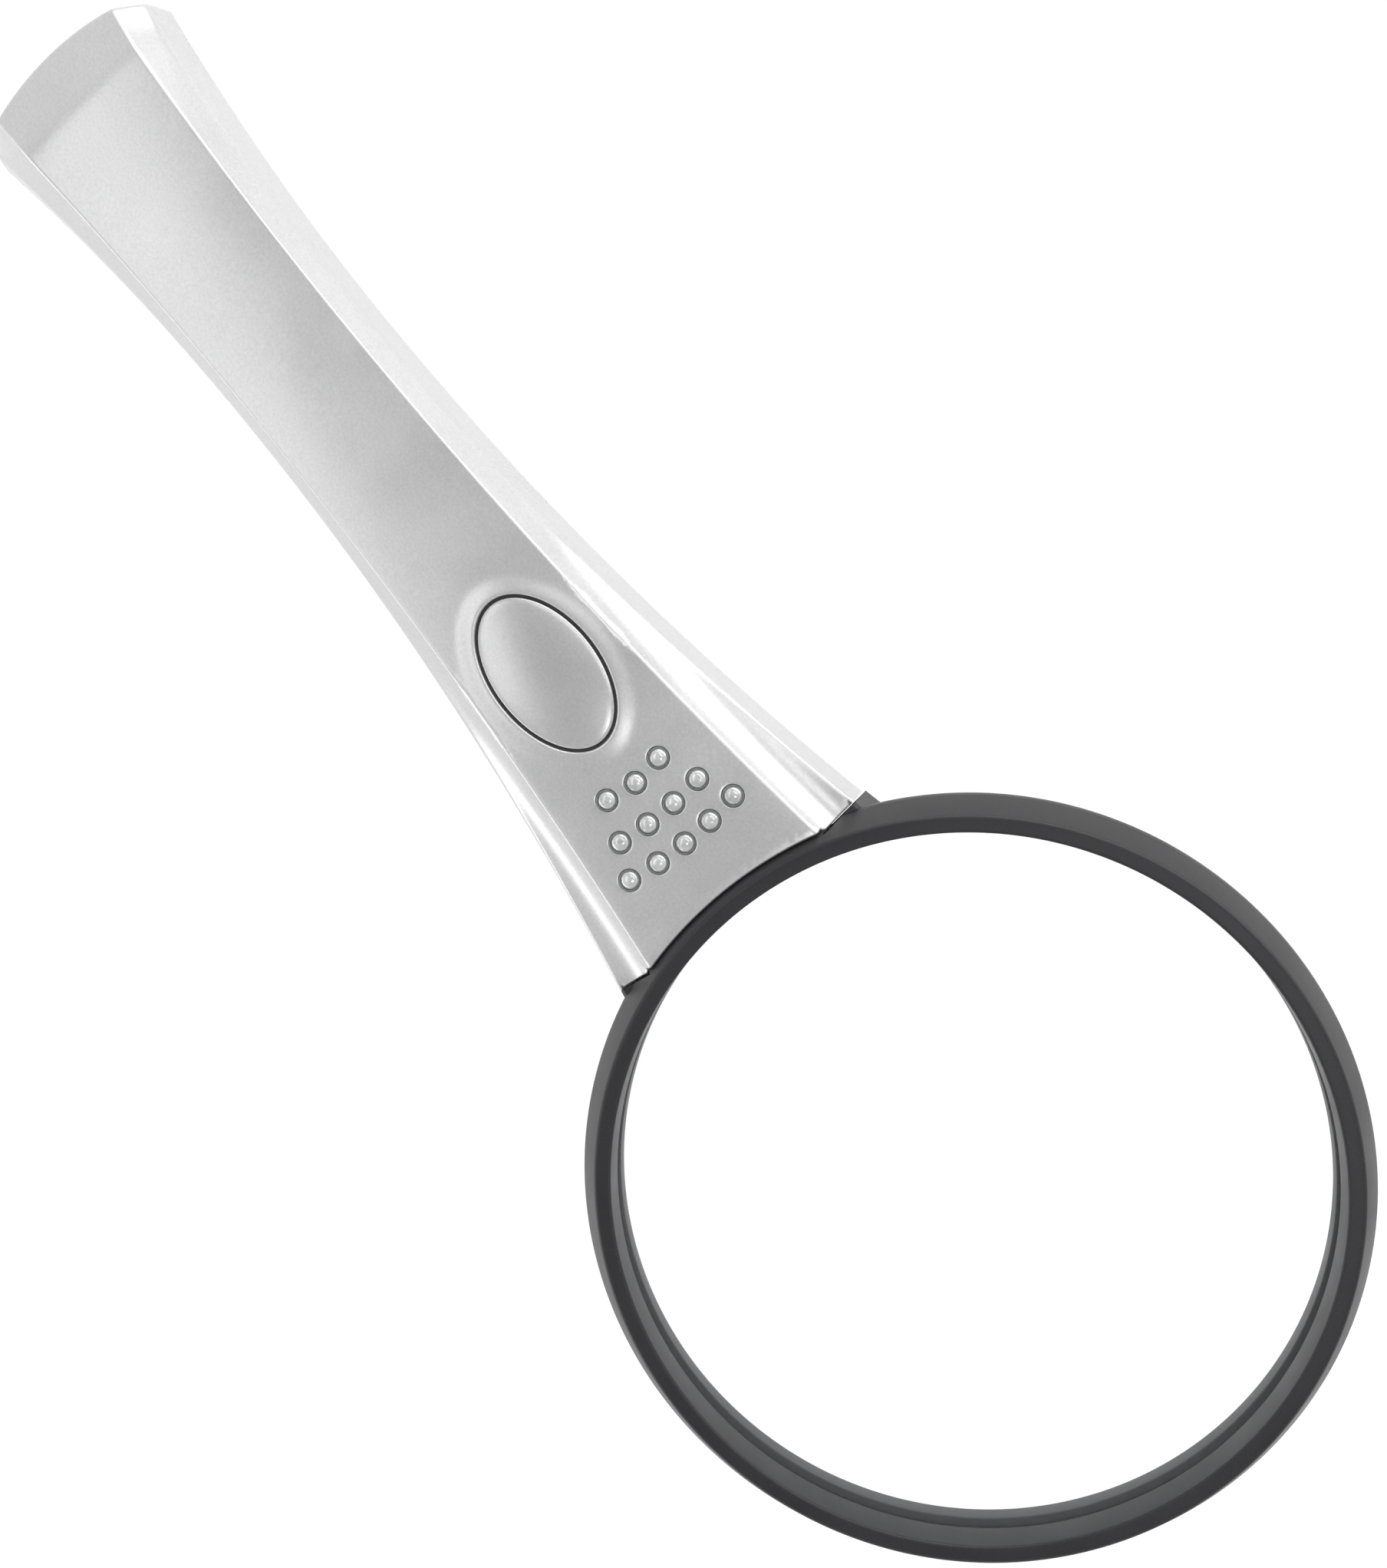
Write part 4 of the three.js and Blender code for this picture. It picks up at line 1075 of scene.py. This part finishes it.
def cell(node):
    """AAA cell: printed sleeve shrunk over both rims, metal can inside it, contact nub at the front."""
    low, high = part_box(node)
    radius = high.y
    axis_z = (low.z + high.z) / 2
    length = high.x - low.x - 0.8 * MM
    sleeve_profile = []
    for r, s in ((1.1, 0.05), (0.55, 0.0), (0.15, 0.12), (0.0, 0.5)):
        sleeve_profile.append((radius - r * MM, s * MM))
    for r, s in ((0.0, 0.6), (0.16, 0.14), (0.5, 0.0), (1.2, 0.05)):
        sleeve_profile.append((radius - r * MM, length - s * MM))
    sleeve = lying(node + "_sleeve", sleeve_profile, low.x, axis_z)
    can_radius = radius - 1.15 * MM
    can_profile = [
        (radius - 1.6 * MM, 0.3 * MM), (can_radius, 0.02 * MM), (can_radius, length),
        (1.9 * MM, length + 0.05 * MM), (1.85 * MM, length + 0.65 * MM), (1.6 * MM, length + 0.8 * MM),
    ]
    can = lying(node + "_can", can_profile, low.x, axis_z)
    return sleeve, can


for cell_node in ("battery_rear", "battery_front"):
    sleeve_piece, can_piece = cell(cell_node)
    finish_piece(sleeve_piece, cell_sleeve, cell_node, slot="cell_jacket")
    finish_piece(can_piece, nickel, cell_node)

# ------------------------------------------------------------------ carried-over CAD nodes
CARRIED = {
    "switch_plunger": white_plastic, "switch_body": black_sleeve, "circuit_board": board_green,
    "led_left": lamp_clear, "led_middle": lamp_clear, "led_right": lamp_clear, "resistor": resistor_lacquer,
    "battery_spring": nickel, "battery_contact_rear": nickel, "battery_contact_front": nickel,
    "wire_red": red_sleeve, "wire_black": black_sleeve,
}
for node, material in CARRIED.items():
    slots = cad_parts[node].data.materials
    slots.clear()
    slots.append(material)

# ------------------------------------------------------------------ stage, light and camera
FLOOR_DROP = 0.13


def floor():
    """The floor lies well under the magnifier, so that its battery door has room to open."""
    bpy.ops.mesh.primitive_plane_add(size=8, location=(LENS_X, 0, -FLOOR_DROP))
    plane = bpy.context.object
    plane.name = "floor"
    material, _, _, shader = new_material("floor_white")
    shader.inputs["Base Color"].default_value = (0.95, 0.95, 0.95, 1)
    shader.inputs["Roughness"].default_value = 0.9
    plane.data.materials.append(material)


def softbox(name, place, target, width, height, power):
    data = bpy.data.lights.new(name, "AREA")
    data.shape = "RECTANGLE"
    data.size, data.size_y = width, height
    data.energy = power
    lamp = bpy.data.objects.new(name, data)
    bpy.context.scene.collection.objects.link(lamp)
    lamp.location = place
    lamp.rotation_euler = (Vector(target) - Vector(place)).to_track_quat("-Z", "Y").to_euler()
    lamp.visible_camera = False


def sky():
    """Studio walls and ceiling: white at the horizon, dimmer overhead."""
    world = bpy.data.worlds.new("studio")
    bpy.context.scene.world = world
    world.use_nodes = True
    nodes, links = world.node_tree.nodes, world.node_tree.links
    coordinates = nodes.new("ShaderNodeTexCoord")
    split = nodes.new("ShaderNodeSeparateXYZ")
    links.new(coordinates.outputs["Generated"], split.inputs["Vector"])
    stops = [
        (0.0, (1, 1, 1)), (0.35, (0.96, 0.96, 0.96)), (0.75, (0.66, 0.66, 0.67)), (1.0, (0.34, 0.34, 0.35)),
    ]
    links.new(ramp(nodes, links, split.outputs["Z"], stops), nodes["Background"].inputs["Color"])


floor()
sky()
softbox("long_side_box", (-0.35, 0.85, 0.37), (-0.06, 0, 0), 1.7, 0.5, 8.4)
softbox("low_side_box", (-0.20, -1.0, 0.14), (-0.06, 0, 0), 1.6, 0.3, 3.6)
softbox("high_box", (-0.46, -0.36, 0.93), (-0.10, 0, 0), 0.9, 0.3, 1.25)
softbox("second_high_box", (-0.15, 0.45, 0.9), (-0.05, 0, 0), 0.8, 0.24, 1.2)
softbox("small_top_box", (0.36, 0.08, 1.17), (0.08, 0.05, 0), 0.2, 0.2, 1.1)

# The camera stands almost straight above the neck and close, with the handle running up to the left.
CAMERA_PLACE = Vector((LENS_X - 0.0667, 0.0521, 0.2855))
CAMERA_TARGET = Vector((LENS_X - 0.0737, 0.0060, WIDEST_HEIGHT))
PICTURE_UP = math.radians(140.3)
camera_data = bpy.data.cameras.new("camera")
camera_data.lens = 42.2
camera_data.sensor_width = 36
camera = bpy.data.objects.new("camera", camera_data)
bpy.context.scene.collection.objects.link(camera)
back = (CAMERA_PLACE - CAMERA_TARGET).normalized()
right = Vector((math.cos(PICTURE_UP), math.sin(PICTURE_UP), 0)).cross(back).normalized()
up = back.cross(right)
camera.rotation_euler = Matrix((right, up, back)).transposed().to_euler()
camera.location = CAMERA_PLACE
bpy.context.scene.camera = camera
camera_data.clip_start = 0.01
bpy.context.scene.view_settings.view_transform = "Standard"
